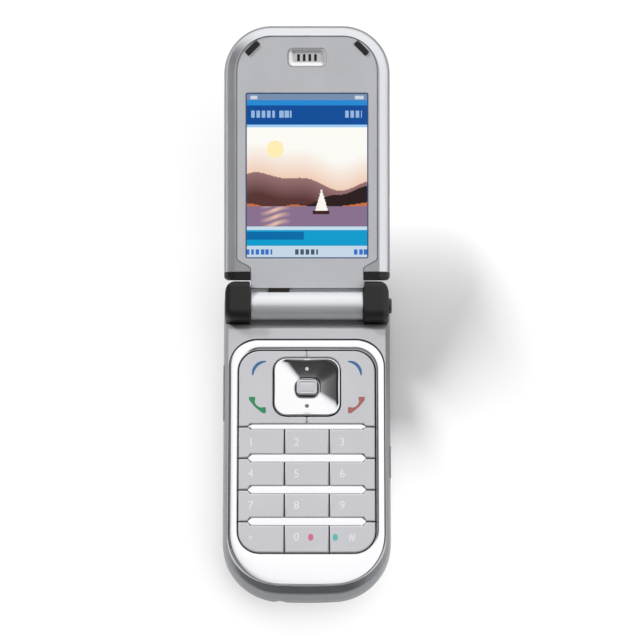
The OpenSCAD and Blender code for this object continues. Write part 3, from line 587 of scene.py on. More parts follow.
rear = carved(
    to_mesh("rear_shell", loft(lower)),
    ("DIFFERENCE", prism(rear_cavity, floor_z, above_split)),
    ("DIFFERENCE", rear_room),
    ("UNION", bay_walls),
    ("UNION", seat(chin_screw, boss_r, bay_low, split_z)),
    ("UNION", seat(rear_screw, boss_r, 0.6, split_z)),
    ("DIFFERENCE", bay_room),
    ("DIFFERENCE", bar_along_y(cover_profile(slide_gap), past_chin, cover_rear + slide_gap)),
    ("DIFFERENCE", contact_slot),
    ("DIFFERENCE", at_screws(shank_r, below_back, above_split, above_split)),
    ("DIFFERENCE", at_screws(sink_r, below_back, chin_sink, rear_sink)),
    ("DIFFERENCE", speaker_slots),
    ("DIFFERENCE", several(charger_hole, microphone_hole)),
)
rear = with_shaded_flanks(rear, upright, 0.93)
piece("rear_housing", rear, (shade_painted_silver, shade_painted_rear_flank), "base", "silver_shell", "rear_shell")

# ---- Battery cover ----
# Thin silver plate that slides off towards the chin, held by a lip along each side.
# Five shallow grooves near its rear edge give the thumb its grip.
thumb_grooves = grille_slots(x=0, y=cover_rear - 7.2, count=5, pitch=1.6, length=14, width=0.7, z0=-1, z1=0.3)
cover_mesh = carved(
    to_mesh("battery_cover", loft([base_ring(z) for z in edge_levels])),
    ("INTERSECT", bar_along_y(cover_profile(0), past_chin, cover_rear)),
    ("DIFFERENCE", thumb_grooves),
)
cover_paint = finish_of("cover_paint", (0.56, 0.56, 0.58), 0.38, 0.3, 0.05, 0.001, 0.6, 0.15, fine=0.15)
piece("sliding_cover", cover_mesh, cover_paint, "battery_cover", "silver_shell", "battery_cover")

# ---- Keypad ring ----
# Bright ring round the keypad, plated ABS pressed into its seat in the front cover.
# Its crowned face widens into a broad land at the chin.
# Each point of its section is a share of the way across the band, a step on from there, and a height.
ring_section = [
    (0, 0.01, ring_z), (0, 0.01, 10.3), (0, 0.06, 10.62), (0, 0.18, 10.88), (0, 0.38, 11.06),
    (0, 0.62, 11.16), (0.32, 0, 11.2), (0.5, 0, 11.2), (0.75, 0, 11.17), (1, -0.5, 11.1),
    (1, -0.3, 11.02), (1, -0.14, 10.88), (1, -0.05, 10.7), (1, -0.01, 10.45), (1, -0.01, ring_z),
]


def between(a, b, t, off, z):
    """Outline at share t of the way from outline a to b, moved on by a length across the band."""
    points = []
    for (ax, ay), (bx, by) in zip(a, b):
        width = math.hypot(bx - ax, by - ay)
        share = t + off / width
        points.append((ax + (bx - ax) * share, ay + (by - ay) * share, z))
    return points


inner_line = field_plan(0.1)
outer_line = ring_plan(0)
ring_rings = [between(inner_line, outer_line, *s) for s in ring_section]
ring_mesh = to_mesh("keypad_ring", loft(ring_rings, closed=True))
ring_plating = finish_of("ring_plating", (0.96, 0.96, 0.965), 0.14, 0.5, 0.015, 0.0001, 0.95)
piece("keypad_surround", ring_mesh, ring_plating, "base", "bright_ring", "keypad_ring", smooth=50)

# ---- Row bars ----
# Four bright bars stand between the rows of keys, plated strips bonded to the keypad's mat.
# Each is a straight strip with rounded long edges that narrows to a point at both ends.


def grown(name, inputs, build, places=(), lengths=()):
    """Plain mesh that a Geometry Nodes tree makes from named inputs, each a socket type and a value."""
    tree = bpy.data.node_groups.new(name, "GeometryNodeTree")
    tree.interface.new_socket("Geometry", in_out="OUTPUT", socket_type="NodeSocketGeometry")
    tree.interface.new_socket("Places", in_out="INPUT", socket_type="NodeSocketGeometry")
    values = {}
    for label, (kind, value) in inputs.items():
        socket = tree.interface.new_socket(label, in_out="INPUT", socket_type="NodeSocket" + kind)
        values[socket.identifier] = value
    given = tree.nodes.new("NodeGroupInput").outputs
    last = build(tree, given)
    tree.links.new(last, tree.nodes.new("NodeGroupOutput").inputs[0])
    spots = bpy.data.meshes.new(name)
    spots.from_pydata([Vector(p) * mm for p in places], [], [])
    spots.attributes.new("length", "FLOAT", "POINT").data.foreach_set("value", [v * mm for v in lengths])
    holder = bpy.data.objects.new(name, spots)
    scene.collection.objects.link(holder)
    growth = holder.modifiers.new(name, "NODES")
    growth.node_group = tree
    for key, value in values.items():
        growth[key] = value
    return settled(holder)


def times(tree, value, factor):
    return flow(tree, "ShaderNodeMath", {"operation": "MULTIPLY"}, i0=value, i1=factor)


def finished(tree, geometry, finish):
    """Instances made real, in their material."""
    real = flow(tree, "GeometryNodeRealizeInstances", Geometry=geometry)
    return flow(tree, "GeometryNodeSetMaterial", Geometry=real, Material=finish)


def bars_tree(tree, given):
    """A rounded strip drawn in at both ends, set again and again down the keypad, the first one narrower."""
    half = times(tree, given["Length"], 0.5)
    start = flow(tree, "ShaderNodeCombineXYZ", X=times(tree, given["Length"], -0.5))
    end = flow(tree, "ShaderNodeCombineXYZ", X=half)
    line = flow(tree, "GeometryNodeCurvePrimitiveLine", Start=start, End=end)
    line = flow(tree, "GeometryNodeResampleCurve", Curve=line, Count=61)
    kind = "GeometryNodeCurvePrimitiveQuadrilateral"
    strip = flow(tree, kind, Width=given["Height"], Height=given["Width"])
    fillet = {"mode": "POLY"}
    strip = flow(tree, "GeometryNodeFilletCurve", fillet, Curve=strip, Radius=given["Rounding"], Count=4)
    bar = flow(tree, "GeometryNodeCurveToMesh", Curve=line, Profile_Curve=strip, Fill_Caps=True)
    spot = flow(tree, "GeometryNodeInputPosition")
    parts = wire(tree, "ShaderNodeSeparateXYZ", Vector=spot).outputs
    reach = flow(tree, "ShaderNodeMath", {"operation": "ABSOLUTE"}, i0=parts["X"])
    shoulder = flow(tree, "ShaderNodeMath", {"operation": "SUBTRACT"}, i0=half, i1=given["Point"])
    narrow = flow(
        tree, "ShaderNodeMapRange", Value=reach, From_Min=shoulder, From_Max=half, To_Min=0.0, To_Max=-0.85
    )
    move = flow(tree, "ShaderNodeCombineXYZ", Y=times(tree, parts["Y"], narrow))
    bar = flow(tree, "GeometryNodeSetPosition", Geometry=bar, Offset=move)
    first = flow(tree, "ShaderNodeCombineXYZ", Y=given["First Y"], Z=given["Middle Z"])
    step = flow(tree, "ShaderNodeCombineXYZ", Y=given["Step"])
    spots = flow(tree, "GeometryNodeMeshLine", Count=given["Count"], Start_Location=first, Offset=step)
    order = flow(tree, "GeometryNodeInputIndex")
    is_first = flow(tree, "FunctionNodeCompare", {"data_type": "INT", "operation": "EQUAL"}, i2=order, i3=0)
    switch = {"input_type": "FLOAT"}
    wide = flow(
        tree, "GeometryNodeSwitch", switch, Switch=is_first, False_=1.0, True_=given["First Width"]
    )
    scale = flow(tree, "ShaderNodeCombineXYZ", X=1.0, Y=wide, Z=1.0)
    bars = flow(tree, "GeometryNodeInstanceOnPoints", Points=spots, Instance=bar, Scale=scale)
    return finished(tree, bars, given["Finish"])


bar_low = 8.4
bar_top = 11.05
first_bar = 3.55
row_pitch = 9.1
bar_plating = finish_of("bar_plating", (0.95, 0.95, 0.96), 0.16, 0.4, 0.02, 0.0001, 0.95)
bar_sizes = {
    "Length": ("Float", 33.0 * mm),
    "Width": ("Float", 1.7 * mm),
    "Height": ("Float", (bar_top - bar_low) * mm),
    "Rounding": ("Float", 0.42 * mm),
    "Point": ("Float", 0.9 * mm),
    "First Y": ("Float", first_bar * mm),
    "Middle Z": ("Float", (bar_top + bar_low) / 2 * mm),
    "Step": ("Float", -row_pitch * mm),
    "Count": ("Int", 4),
    "First Width": ("Float", 1.2 / 1.9),
    "Finish": ("Material", bar_plating),
}
bars_mesh = grown("row_bars", bar_sizes, bars_tree)
piece("row_strips", bars_mesh, bar_plating, "base", "bright_bar", "row_bars", smooth=50)

# ---- Keys ----
# Twelve number keys and two function plates, moulded in pale plastic under satin silver lacquer.
# Plain digits are printed on the number keys; each plate carries a stroke and a small receiver sign.
key_top = 10.8
key_paint = finish_of("key_paint", (0.545, 0.545, 0.57), 0.42, 0.2, 0.05, 0.0012, 0.2, 0.05, fine=0.1)
pale_ink = finish_of("pale_ink", (0.72, 0.72, 0.74), 0.5, 0.2, 0.02)
row_edges = [first_bar - row_pitch * i for i in range(4)] + [field_chin]
key_columns = (-12.85, 0, 12.85)
key_edge = 0.4
digit_size = 3.3
number_keys = "1 2 3 4 5 6 7 8 9 star 0 hash".split()


def soft_topped(node, top, width):
    """A copy of a CAD piece with upright sides and a flat top, whose top edge is rounded."""
    mesh = merged_copy(node)
    shape = bmesh.new()
    shape.from_mesh(mesh)
    rim = []
    for edge in shape.edges:
        high = all(abs(v.co.z - top * mm) < 2e-5 for v in edge.verts)
        ups = [abs(f.normal.z) for f in edge.link_faces]
        if high and len(ups) == 2 and max(ups) > 0.9 and min(ups) < 0.3:
            rim.append(edge)
    softly = {"segments": 4, "profile": 0.55, "affect": "EDGES", "clamp_overlap": True}
    bmesh.ops.bevel(shape, geom=rim, offset=width * mm, **softly)
    shape.to_mesh(mesh)
    shape.free()
    return mesh


def printed(character, size, x, y, z):
    """A thin raised print of one character, centred on a place."""
    curve = bpy.data.curves.new("print", "FONT")
    curve.body = character
    curve.size = size * mm
    curve.extrude = 0.012 * mm
    curve.align_x = "CENTER"
    curve.align_y = "CENTER"
    curve.resolution_u = 3
    holder = bpy.data.objects.new("print", curve)
    scene.collection.objects.link(holder)
    mesh = settled(holder)
    mesh.transform(Matrix.Translation(Vector((x, y, z)) * mm))
    return mesh


def with_prints(mesh, *prints):
    """The mesh joined with its printed marks, which take the second material and those after it."""
    shape = bmesh.new()
    shape.from_mesh(mesh)
    for f in shape.faces:
        f.material_index = 0
    for n, mark in enumerate(prints, 1):
        known = len(shape.faces)
        shape.from_mesh(mark)
        shape.faces.ensure_lookup_table()
        for f in shape.faces[known:]:
            f.material_index = n
    shape.to_mesh(mesh)
    shape.free()
    return mesh


def disc(x, y, r, z, wide=1.0, slope=0.0):
    """A thin round or oval mark, level or sloping up along Y."""
    ring = [(x + wide * a, y + b, z + slope * b) for a, b in circle(r, 20)]
    return loft([[(x, y, z + rise) for x, y, z in ring] for rise in (-0.02, 0.03)])


rose_ink = finish_of("rose_ink", (0.56, 0.12, 0.25), 0.45, 0.2, 0.06)
teal_ink = finish_of("teal_ink", (0.10, 0.42, 0.38), 0.45, 0.2, 0.06)
for n, label in enumerate(number_keys):
    row, column = divmod(n, 3)
    middle_y = (row_edges[row] + row_edges[row + 1]) / 2
    character = {"star": "*", "hash": "#"}.get(label, label)
    drop = 0.7 if label == "star" else 0.0
    shift = -0.2 if label == "hash" else -2.9
    prints = [printed(character, digit_size, key_columns[column] + shift, middle_y - drop, key_top)]
    inks = [pale_ink]
    if label in ("0", "hash"):
        mark_x = 1.1 if label == "0" else 7.95
        prints.append(to_mesh("mark", disc(mark_x, middle_y, 1.0, key_top, wide=0.75)))
        inks.append(rose_ink if label == "0" else teal_ink)
    node = "key_" + label
    mesh = with_prints(soft_topped(node, key_top, key_edge), *prints)
    piece("number_" + node, mesh, (key_paint, *inks), node, "silver_key", node)


def arc_stroke(x, y, r, widths, start, end, z, steps=18):
    """A flat curved stroke whose width runs through the values from one angle to the other, in degrees."""
    angles = [math.radians(start + (end - start) * i / steps) for i in range(steps + 1)]
    half = np.interp(np.linspace(0, 1, steps + 1), np.linspace(0, 1, len(widths)), widths) / 2
    outer = [(x + (r + h) * math.cos(a), y + (r + h) * math.sin(a)) for a, h in zip(angles, half)]
    inner = [(x + (r - h) * math.cos(a), y + (r - h) * math.sin(a)) for a, h in zip(angles, half)]
    return prism(outer + inner[::-1], z - 0.01, z + 0.02)


nav_y = 15.1
stroke_ink = finish_of("stroke_ink", (0.035, 0.13, 0.30), 0.45, 0.2, 0.06)
green_ink = finish_of("green_ink", (0.02, 0.22, 0.09), 0.45, 0.2, 0.06)
red_ink = finish_of("red_ink", (0.36, 0.11, 0.10), 0.45, 0.2, 0.06)
thin_line = (0.35, 0.8, 0.9, 0.8, 0.35)
receiver = (1.7, 1.8, 1.0, 0.75, 0.7, 0.75, 1.0, 1.8, 1.7)
parting = 0.06
for side, hand, ink in ((-1, "left", green_ink), (1, "right", red_ink)):
    x = side * 11.6
    outward = 180 if side < 0 else 0
    inward = 270 if side < 0 else -90
    up = to_mesh("mark", arc_stroke(x, nav_y + 3.7, 3.7, thin_line, outward - 5 * side, 90, key_top))
    down = to_mesh("mark", arc_stroke(x, nav_y - 2.9, 3.9, receiver, outward, inward, key_top))
    node = hand + "_function_key"
    mesh = with_prints(soft_topped(node, key_top, key_edge), up, down)
    for vertex in mesh.vertices:
        if abs(vertex.co.x) < 0.25 * mm:
            vertex.co.x = side * parting * mm
    piece(hand + "_function_plate", mesh, (key_paint, stroke_ink, ink), node, "silver_key", node)

# ---- Navigation pad ----
# Plated square pad, dished towards its middle, which tilts four ways on a rubber seat.
# The select key stands in the well at its centre, a small lacquered button with a raised frame.
nav_half = 9.31
nav_long = 8.3
nav_low = 9.15
rim_z = 11.2
dish_z = 9.5
well = 0.4
select_half = 2.9
select_long = 2.1


def square_plan(half, long, r):
    return outline(half, nav_y - long, nav_y + long, (r, r), (r, r), arc=10, cap=10, side=14)


pad_rim = square_plan(nav_half, nav_long, 3.5)
pad_well = square_plan(select_half + well, select_long + well, 1.8)
pad_section = [
    (0, 0, nav_low), (0, 0, 10.85), (0, 0.05, 11.04), (0, 0.15, 11.15), (0, 0.32, rim_z), (0, 0.5, 11.17)
]
for share in np.linspace(0.12, 0.95, 12):
    pad_section.append((share, 0, dish_z + (rim_z - 0.05 - dish_z) * (1 - share) ** 1.1))
pad_section += [(1, -0.2, dish_z), (1, -0.06, dish_z - 0.05), (1, 0, dish_z - 0.2), (1, 0, nav_low)]
pad_mesh = to_mesh("pad", loft([between(pad_rim, pad_well, *s) for s in pad_section], closed=True))
top_dot = to_mesh("mark", disc(0, nav_y + 5.4, 0.5, 10.26, slope=0.3))
low_dot = to_mesh("mark", disc(0, nav_y - 5.4, 0.6, 10.26, slope=-0.3))
dark_ink = finish_of("dark_ink", (0.11, 0.11, 0.12), 0.45, 0.2, 0.06)
pad_plating = finish_of("pad_plating", (0.92, 0.92, 0.93), 0.12, 0.5, 0.02, 0.0001, 1.0)
pad_mesh = with_prints(pad_mesh, top_dot, low_dot)
pad_finish = (pad_plating, pale_ink, dark_ink)
piece("tilting_pad", pad_mesh, pad_finish, "nav_pad", "bright_bar", "nav_pad", smooth=40)

# Each step of the select key is how far it is drawn in, and a height.
select_steps = (
    (0, nav_low), (0, 10.43), (0.06, 10.6), (0.2, 10.73), (0.42, 10.75), (0.56, 10.71), (0.68, 10.59),
    (0.82, 10.58), (0.94, 10.65), (1.15, 10.67), (1.9, 10.68),
)
select_rings = []
for inset, z in select_steps:
    plan = square_plan(select_half - inset, select_long - inset, max(0.1, 1 - inset))
    select_rings.append(at_height(plan, z))
middle = to_mesh("middle", loft(select_rings))
piece("middle_key", middle, key_paint, "select_key", "silver_key", "select_key", smooth=40)

black_rubber = finish_of("black_rubber", (0.014, 0.014, 0.015), 0.7, 0.3, 0.2, 0.003)
rubber_seat = eased(merged_copy("nav_gimbal"), 0.08)
piece("pad_seat", rubber_seat, black_rubber, "nav_gimbal", "black_rubber", "nav_gimbal")

# ---- Hinge ears ----
# Two black moulded knuckles screwed to the base, spark-eroded to a fine texture, with rounded outer edges.
# The right one has a round button in its end that lets the lid spring open.
ear_in = 16.2
ear_out = 23.2
ear_low = -4.45
ear_front = 4.7
ear_rear = 7.0
ear_crown = 4.8
ear_fillet = 2.5
ear_round = 1.9
pin_end = 19.8
black_plastic = finish_of("black_plastic", (0.006, 0.006, 0.0065), 0.5, 0.22, 0.25, 0.006, fine=0.4)


def ear_section(inset):
    """Section across the ear, moved in by an inset: flat foot, straight front, flat crown, round back."""
    front = ear_front - inset
    rear = ear_rear - inset
    crown = ear_crown - inset
    fillet = ear_fillet - inset * 0.5
    points = [(-front, ear_low), (rear, ear_low), (rear, ear_low / 2)]
    for a in np.linspace(0, math.pi / 2, 24):
        y = rear * math.cos(a)
        flat = crown - fillet + math.sqrt(max(0.0, fillet**2 - max(0.0, y - (rear - fillet)) ** 2))
        points.append((y, min(math.sqrt(max(0.0, rear**2 - y * y)), flat)))
    for t in np.linspace(0.08, 1, 12):
        points.append((-t * (front - fillet), crown))
    for a in np.linspace(math.pi / 2, math.pi, 10)[1:]:
        points.append((-(front - fillet) + fillet * math.cos(a), crown - fillet + fillet * math.sin(a)))
    return points


ear_steps = [(ear_in, 0.3), (ear_in + 0.1, 0.1), (ear_in + 0.3, 0)]
for a in np.linspace(0, math.pi / 2, 10):
    ear_steps.append((ear_out - ear_round + ear_round * math.sin(a), 1.15 * (1 - math.cos(a)) ** 0.9))
at_axis = Matrix.Translation((0, axis_y, axis_z))


def turned(profile):
    """A round solid about X, from pairs of a place along it and a radius."""
    return loft([[(x, y, z) for y, z in circle(r, 48)] for x, r in profile])


def raised(solid):
    """The solid moved from the hinge axis to its place on the base."""
    return [(x, y + axis_y, z + axis_z) for x, y, z in solid[0]], solid[1]


plan_room = prism(outline(ear_out, face_rear, rear_y, (0.6, 0.6), (4.4, 4.4)), shelf_z, 20)
ear_solid = raised(loft([[(x, y, z) for y, z in ear_section(inset)] for x, inset in ear_steps]))
screw_bore = round_bar(*rear_screw, shank_r, 0, 9.9)
pin_bore = raised(turned([(0, 1.0), (20.0, 1.0)]))
shaft_bore = raised(turned([(0, 1.2), (pin_end, 1.2)]))
button_room = raised(turned([(pin_end, 2.25), (26, 2.25)]))
for hand, bores in (("left", (pin_bore, screw_bore)), ("right", (shaft_bore, button_room, screw_bore))):
    cuts = [("DIFFERENCE", bore) for bore in bores]
    ear = carved(to_mesh("ear", ear_solid), ("INTERSECT", plan_room), *cuts)
    if hand == "left":
        solid = [tuple(v.co / mm) for v in ear.vertices], [tuple(p.vertices) for p in ear.polygons]
        ear = to_mesh("ear", mirrored(solid))
    piece(hand + "_knuckle", ear, black_plastic, "base", "black_plastic", hand + "_ear", smooth=35)

button_plastic = finish_of("button_plastic", (0.03, 0.028, 0.027), 0.3, 0.3, 0.2, 0.002)
button_profile = [
    (20.8, 2.2), (23.5, 2.2), (23.8, 2.14), (24.0, 1.95), (24.06, 1.75), (24.02, 1.5), (23.9, 1.3),
    (23.85, 0.8), (23.84, 0.2),
]
button = to_mesh("button", turned(button_profile), at_axis)
piece("lid_button", button, button_plastic, "open_button", "black_plastic", "open_button", smooth=40)

# ---- Hinge barrel ----
# Silver barrel between the ears, moulded with a flat neck that runs under the lid's inner panel.
# It houses the sprung cam unit and the rolled flex, and a groove parts it from the panel's edge.
barrel_half = 16.0
barrel_r = 4.0
neck_top = -1.4
neck_low = -4.4
neck_in = 12.0
neck_screw = (12.6, 10.2)
panel_z = -1.35
barrel_paint = finish_of("barrel_paint", (0.72, 0.73, 0.75), 0.3, 0.25, 0.03, 0.0003, 0.45, 0.3, fine=0.12)


def barrel_section(inset):
    """Section across the barrel and its neck, with the groove behind the panel's edge."""
    r = barrel_r - inset
    low = neck_low + inset
    top = neck_top - inset
    far = neck_in - inset
    points = [(0.6, -4.03 + inset), (1.3, -4.2 + inset), (2.2, low), (far, low)]
    points += [(far, top), (5.5, top), (5.35, neck_top - 0.1 - inset), (4.9, -2.75)]
    start = math.asin(-2.7 / r)
    for a in np.linspace(start, 1.5 * math.pi, 72):
        points.append((r * math.cos(a), r * math.sin(a)))
    return points


left_end = [(-barrel_half, 0.3), (-15.93, 0.13), (-15.8, 0.03), (-15.6, 0)]
barrel_steps = left_end + [(-x, inset) for x, inset in reversed(left_end)]
barrel_solid = loft([[(x, y, z) for y, z in barrel_section(inset)] for x, inset in barrel_steps])
flex_room = block((-11.3, 0, panel_z - 0.8), (-4.7, neck_in + 1, 1))
barrel_mesh = carved(
    to_mesh("barrel", barrel_solid, on_lid),
    ("DIFFERENCE", turned([(-13, 2.9), (20, 2.9)])),
    ("DIFFERENCE", turned([(-20, 1.05), (0, 1.05)])),
    ("DIFFERENCE", flex_room),
    ("DIFFERENCE", several(seat(neck_screw, 1.4, panel_z - 1.05, 2), seat(neck_screw, shank_r, -8, 2))),
    place=on_lid,
)
piece("barrel_shell", barrel_mesh, barrel_paint, "lid", "silver_shell", "hinge_barrel", smooth=30)

# ---- Lid shells ----
# Two silver lacquered halves with softly sloped sides: the frame round the inner panel, and the outer cover.
# They meet at a hairline seam, held by four screws; black caps close the corners beside the hinge.
lid_w = 47.2
lid_l = 79.8
lid_r = 13.6
lid_start = 7.3
lid_face = -0.15
lid_back = -8.65
lid_split = -4.0
lid_edge = [(6.1, 0), (2.4, 1.05), (0.6, 2.65), (0, 4.25), (0, 5.25), (0.3, 6.45), (1.3, 7.65), (3, 8.5)]
start_edge = [(1.8, 0), (0.7, 0.9), (0.1, 1.9), (0, 2.6), (0, 8.5)]
wall = 1.2
panel_top = -0.35
panel_half = 19.9
panel_end = 76.6
panel_r = 9.9
neck_half = 16.0
bumper = (15.5, 73.3)


def lid_ring(z, inset=0.0):
    """Outline of the lid at a height of its own frame, with the smooth slope of its edges."""
    height = z - lid_back
    side_in = smooth_value(lid_edge, height) + inset
    near = lid_start + smooth_value(start_edge, height) + inset
    far = (lid_r - side_in, lid_r - side_in)
    return at_height(outline(lid_w / 2 - side_in, near, lid_l - side_in, (1.2, 1.2), far, arc=18), z)


back_levels = (-8.65, -8.62, -8.55, -8.42, -8.25, -8.0, -7.7, -7.35, -6.95, -6.5, -6.0, -5.4, -4.8)
face_levels = (-3.4, -3.0, -2.6, -2.25, -1.9, -1.55, -1.25, -0.98, -0.74, -0.54, -0.38, -0.27, -0.19)
split_ring = lid_ring(lid_split, seam)
back_slope = [lid_ring(z) for z in back_levels]
face_slope = [lid_ring(z) for z in face_levels + (lid_face,)]
back_rings = back_slope + [lid_ring(lid_split - seam), split_ring]
face_rings = [split_ring, lid_ring(lid_split + seam)] + face_slope


def panel_plan(grow):
    """Inner panel: far corners round, S-shaped shoulders down to the neck over the hinge."""
    wide = panel_half + grow
    neck = neck_half + grow
    r = panel_r + grow
    right = [(neck, 5.1 - grow)]
    for i in range(9):
        t = i / 8
        right.append((neck + (wide - neck) * (3 * t * t - 2 * t**3), 10.6 - grow + 3.0 * t))
    for i in range(19):
        a = math.pi / 2 * i / 18
        right.append((wide - r + r * math.cos(a), panel_end + grow - r + r * math.sin(a)))
    return right + [(-x, y) for x, y in reversed(right)]


def cap_room(gap):
    return both_sides(block((neck_half + 0.1 - gap, 0, -12), (30, 9.7 + gap, 3)))


neck_room = block((-neck_half - 0.1, 0, neck_low - 0.1), (neck_half + 0.1, neck_in + 0.1, 1))
camera_place = (0, 66.3)
frame_hollow = outline(18.8, 12.4, panel_end - 1.5, (0.6, 0.6), (8.9, 8.9))
frame_mesh = carved(
    to_mesh("frame", loft(face_rings), on_lid),
    ("DIFFERENCE", prism(frame_hollow, -3.6, 2)),
    ("UNION", seat(bumper, 1.8, lid_split, panel_z)),
    ("DIFFERENCE", prism(panel_plan(0.2), panel_z, 2)),
    ("DIFFERENCE", neck_room),
    ("DIFFERENCE", cap_room(0.1)),
    ("DIFFERENCE", flex_room),
    ("DIFFERENCE", seat(bumper, 1.4, panel_z - 1.05, 0)),
    ("DIFFERENCE", seat(bumper, shank_r, -6, 0)),
    ("DIFFERENCE", round_bar(*camera_place, 2.6, -6, 0)),
    place=on_lid,
)
# Painted shade: the frame's sloped sides take the darker flank colour.
frame_mesh = with_shaded_flanks(frame_mesh, facing, 0.6)
piece("lid_inner_shell", frame_mesh, (silver_paint, shade_painted_flank), "lid", "silver_shell", "lid_frame")

window_y = 46.6
window_w = 27.0
window_long = 21.0
camera_r = 4.2
outside = -12


def window_plan(grow, r):
    """Outline of the outer window, grown by a gap."""
    reach = window_long / 2 + grow
    return outline(window_w / 2 + grow, window_y - reach, window_y + reach, (r, r), (r, r))


cover_hollow = outline(18.9, lid_start + 2.4, 76.1, (2, 2), (10.1, 10.1))
back_mesh = carved(
    to_mesh("cover", loft(back_rings), on_lid),
    ("DIFFERENCE", prism(cover_hollow, lid_back + wall, 0)),
    ("UNION", seat(bumper, 1.8, lid_back + wall - 0.1, lid_split)),
    ("UNION", seat(neck_screw, 1.8, lid_back + 0.6, -4.5)),
    ("DIFFERENCE", neck_room),
    ("DIFFERENCE", cap_room(0.1)),
    ("DIFFERENCE", several(seat(bumper, shank_r, -7.4, 0), seat(neck_screw, shank_r, -7.4, 0))),
    ("DIFFERENCE", prism(window_plan(0.1, 2), outside, lid_back + 0.85)),
    ("DIFFERENCE", prism(window_plan(-1, 1), outside, lid_back + 2.4)),
    ("DIFFERENCE", round_bar(*camera_place, camera_r + 0.1, outside, lid_back + 2.4)),
    place=on_lid,
)
# Painted shade: the outer cover's sloped sides take the darker flank colour.
back_mesh = with_shaded_flanks(back_mesh, facing, 0.5)
piece("lid_outer_shell", back_mesh, (shade_painted_silver, shade_painted_flank), "lid", "silver_shell", "lid_cover")

cap_solid = loft(back_slope + face_slope)
cap_mesh = carved(to_mesh("cap", cap_solid, on_lid), ("INTERSECT", cap_room(0)), place=on_lid)
piece("corner_caps", eased(cap_mesh, 0.15, 50), black_plastic, "lid", "black_plastic", "lid_corner_caps")
bumper_mesh = eased(merged_copy("lid_bumpers"), 0.2, 40, 3)
piece("corner_bumpers", bumper_mesh, black_rubber, "lid", "black_rubber", "lid_bumpers", smooth=45)

# ---- Inner panel ----
# Flat moulded panel that fills the lid's frame and covers the neck, silver lacquered with a satin top coat.
# It has the openings for the display and the earpiece and is bonded round its edge.
window_half = 17.35
window_start = 13.6
window_end = 60.5
ear_y = 70.6
panel_paint = finish_of("panel_paint", (0.60, 0.605, 0.635), 0.4, 0.25, 0.05, 0.001, 0.2, 0.15, fine=0.12)


def square_prism(half, y0, y1, r, z0, z1):
    return prism(outline(half, y0, y1, (r, r), (r, r), arc=6, cap=4, side=6), z0, z1)


def turned_block(half, long, x, y, z0, z1):
    """A small upright block turned by 45 degrees, and its mirror image on the other side."""
    c = math.sqrt(0.5)
    ends = [(-half, -long), (half, -long), (half, long), (-half, long)]
    return both_sides(prism([(x + (a + b) * c, y + (b - a) * c) for a, b in ends], z0, z1))


panel_mesh = carved(
    to_mesh("panel", prism(panel_plan(0), panel_z, panel_top), on_lid),
    ("DIFFERENCE", square_prism(window_half + 0.1, window_start - 0.1, window_end + 0.1, 0.5, -3, 2)),
    ("DIFFERENCE", square_prism(5.5, ear_y - 2.7, ear_y + 2.7, 1.5, -3, 2)),
    ("DIFFERENCE", turned_block(2.4, 0.85, *bumper, -3, 2)),
    place=on_lid,
)
piece("inner_face_panel", eased(panel_mesh, 0.14, 50), panel_paint, "lid", "silver_shell", "inner_panel")

# ---- Display ----
# Clear acrylic window over the lit colour display, which shows a status line, a title bar, a picture,
# a progress bar and key labels. The picture is an evening lake with hills, drawn from simple curves.
pixel = 0.25
glass_low = panel_z
glass_top = -0.55


def shade(code):
    """Linear colour of a screen colour written as three values up to 255."""
    return np.array([c / 255 / 12.92 if c <= 10 else ((c / 255 + 0.055) / 1.055) ** 2.4 for c in code])


def landscape(u, v):
    """Pale sky with a low sun, brown ridges, a lit orange bank and mauve water with a sail."""
    ridge = 0.46 + 0.07 * math.sin(5.2 * u + 0.6) + 0.03 * math.sin(13 * u + 1.0)
    near = 0.30 + 0.11 * math.sin(3.4 * u + 3.9) + 0.015 * math.sin(21 * u)
    bank = 0.245 + 0.05 * math.cos(4.4 * u + 0.3)
    shore = 0.20
    if 0.16 < v < 0.38 and abs(u - 0.62) < 0.05 * (0.38 - v) / 0.22 + 0.001:
        return shade((250, 247, 240))
    if abs(u - 0.615) < 0.07 and 0.125 < v < 0.155:
        return shade((64, 32, 30))
    if v > ridge:
        sun = math.hypot(u - 0.24, (v - 0.78) * 0.81)
        if sun < 0.07:
            return shade((255, 238, 178))
        warm = min(1.0, max(0.0, (v - ridge) / 0.3))
        return shade((240, 206, 184)) * (1 - warm) + shade((252, 250, 244)) * warm
    if v > max(near, shore):
        haze = min(1.0, (ridge - v) / 0.22)
        return shade((150, 112, 112)) * (1 - haze) + shade((88, 52, 50)) * haze
    if v > max(bank, shore):
        return shade((42, 26, 26))
    if v > shore:
        return shade((196, 112, 66))
    ripple = 0.5 + 0.5 * math.sin(90 * v + 3 * math.sin(14 * u))
    glint = max(0.0, 1 - abs(u - 0.24) / 0.13) * ripple
    return shade((136, 112, 142)) * (1 - glint) + shade((238, 196, 172)) * glint


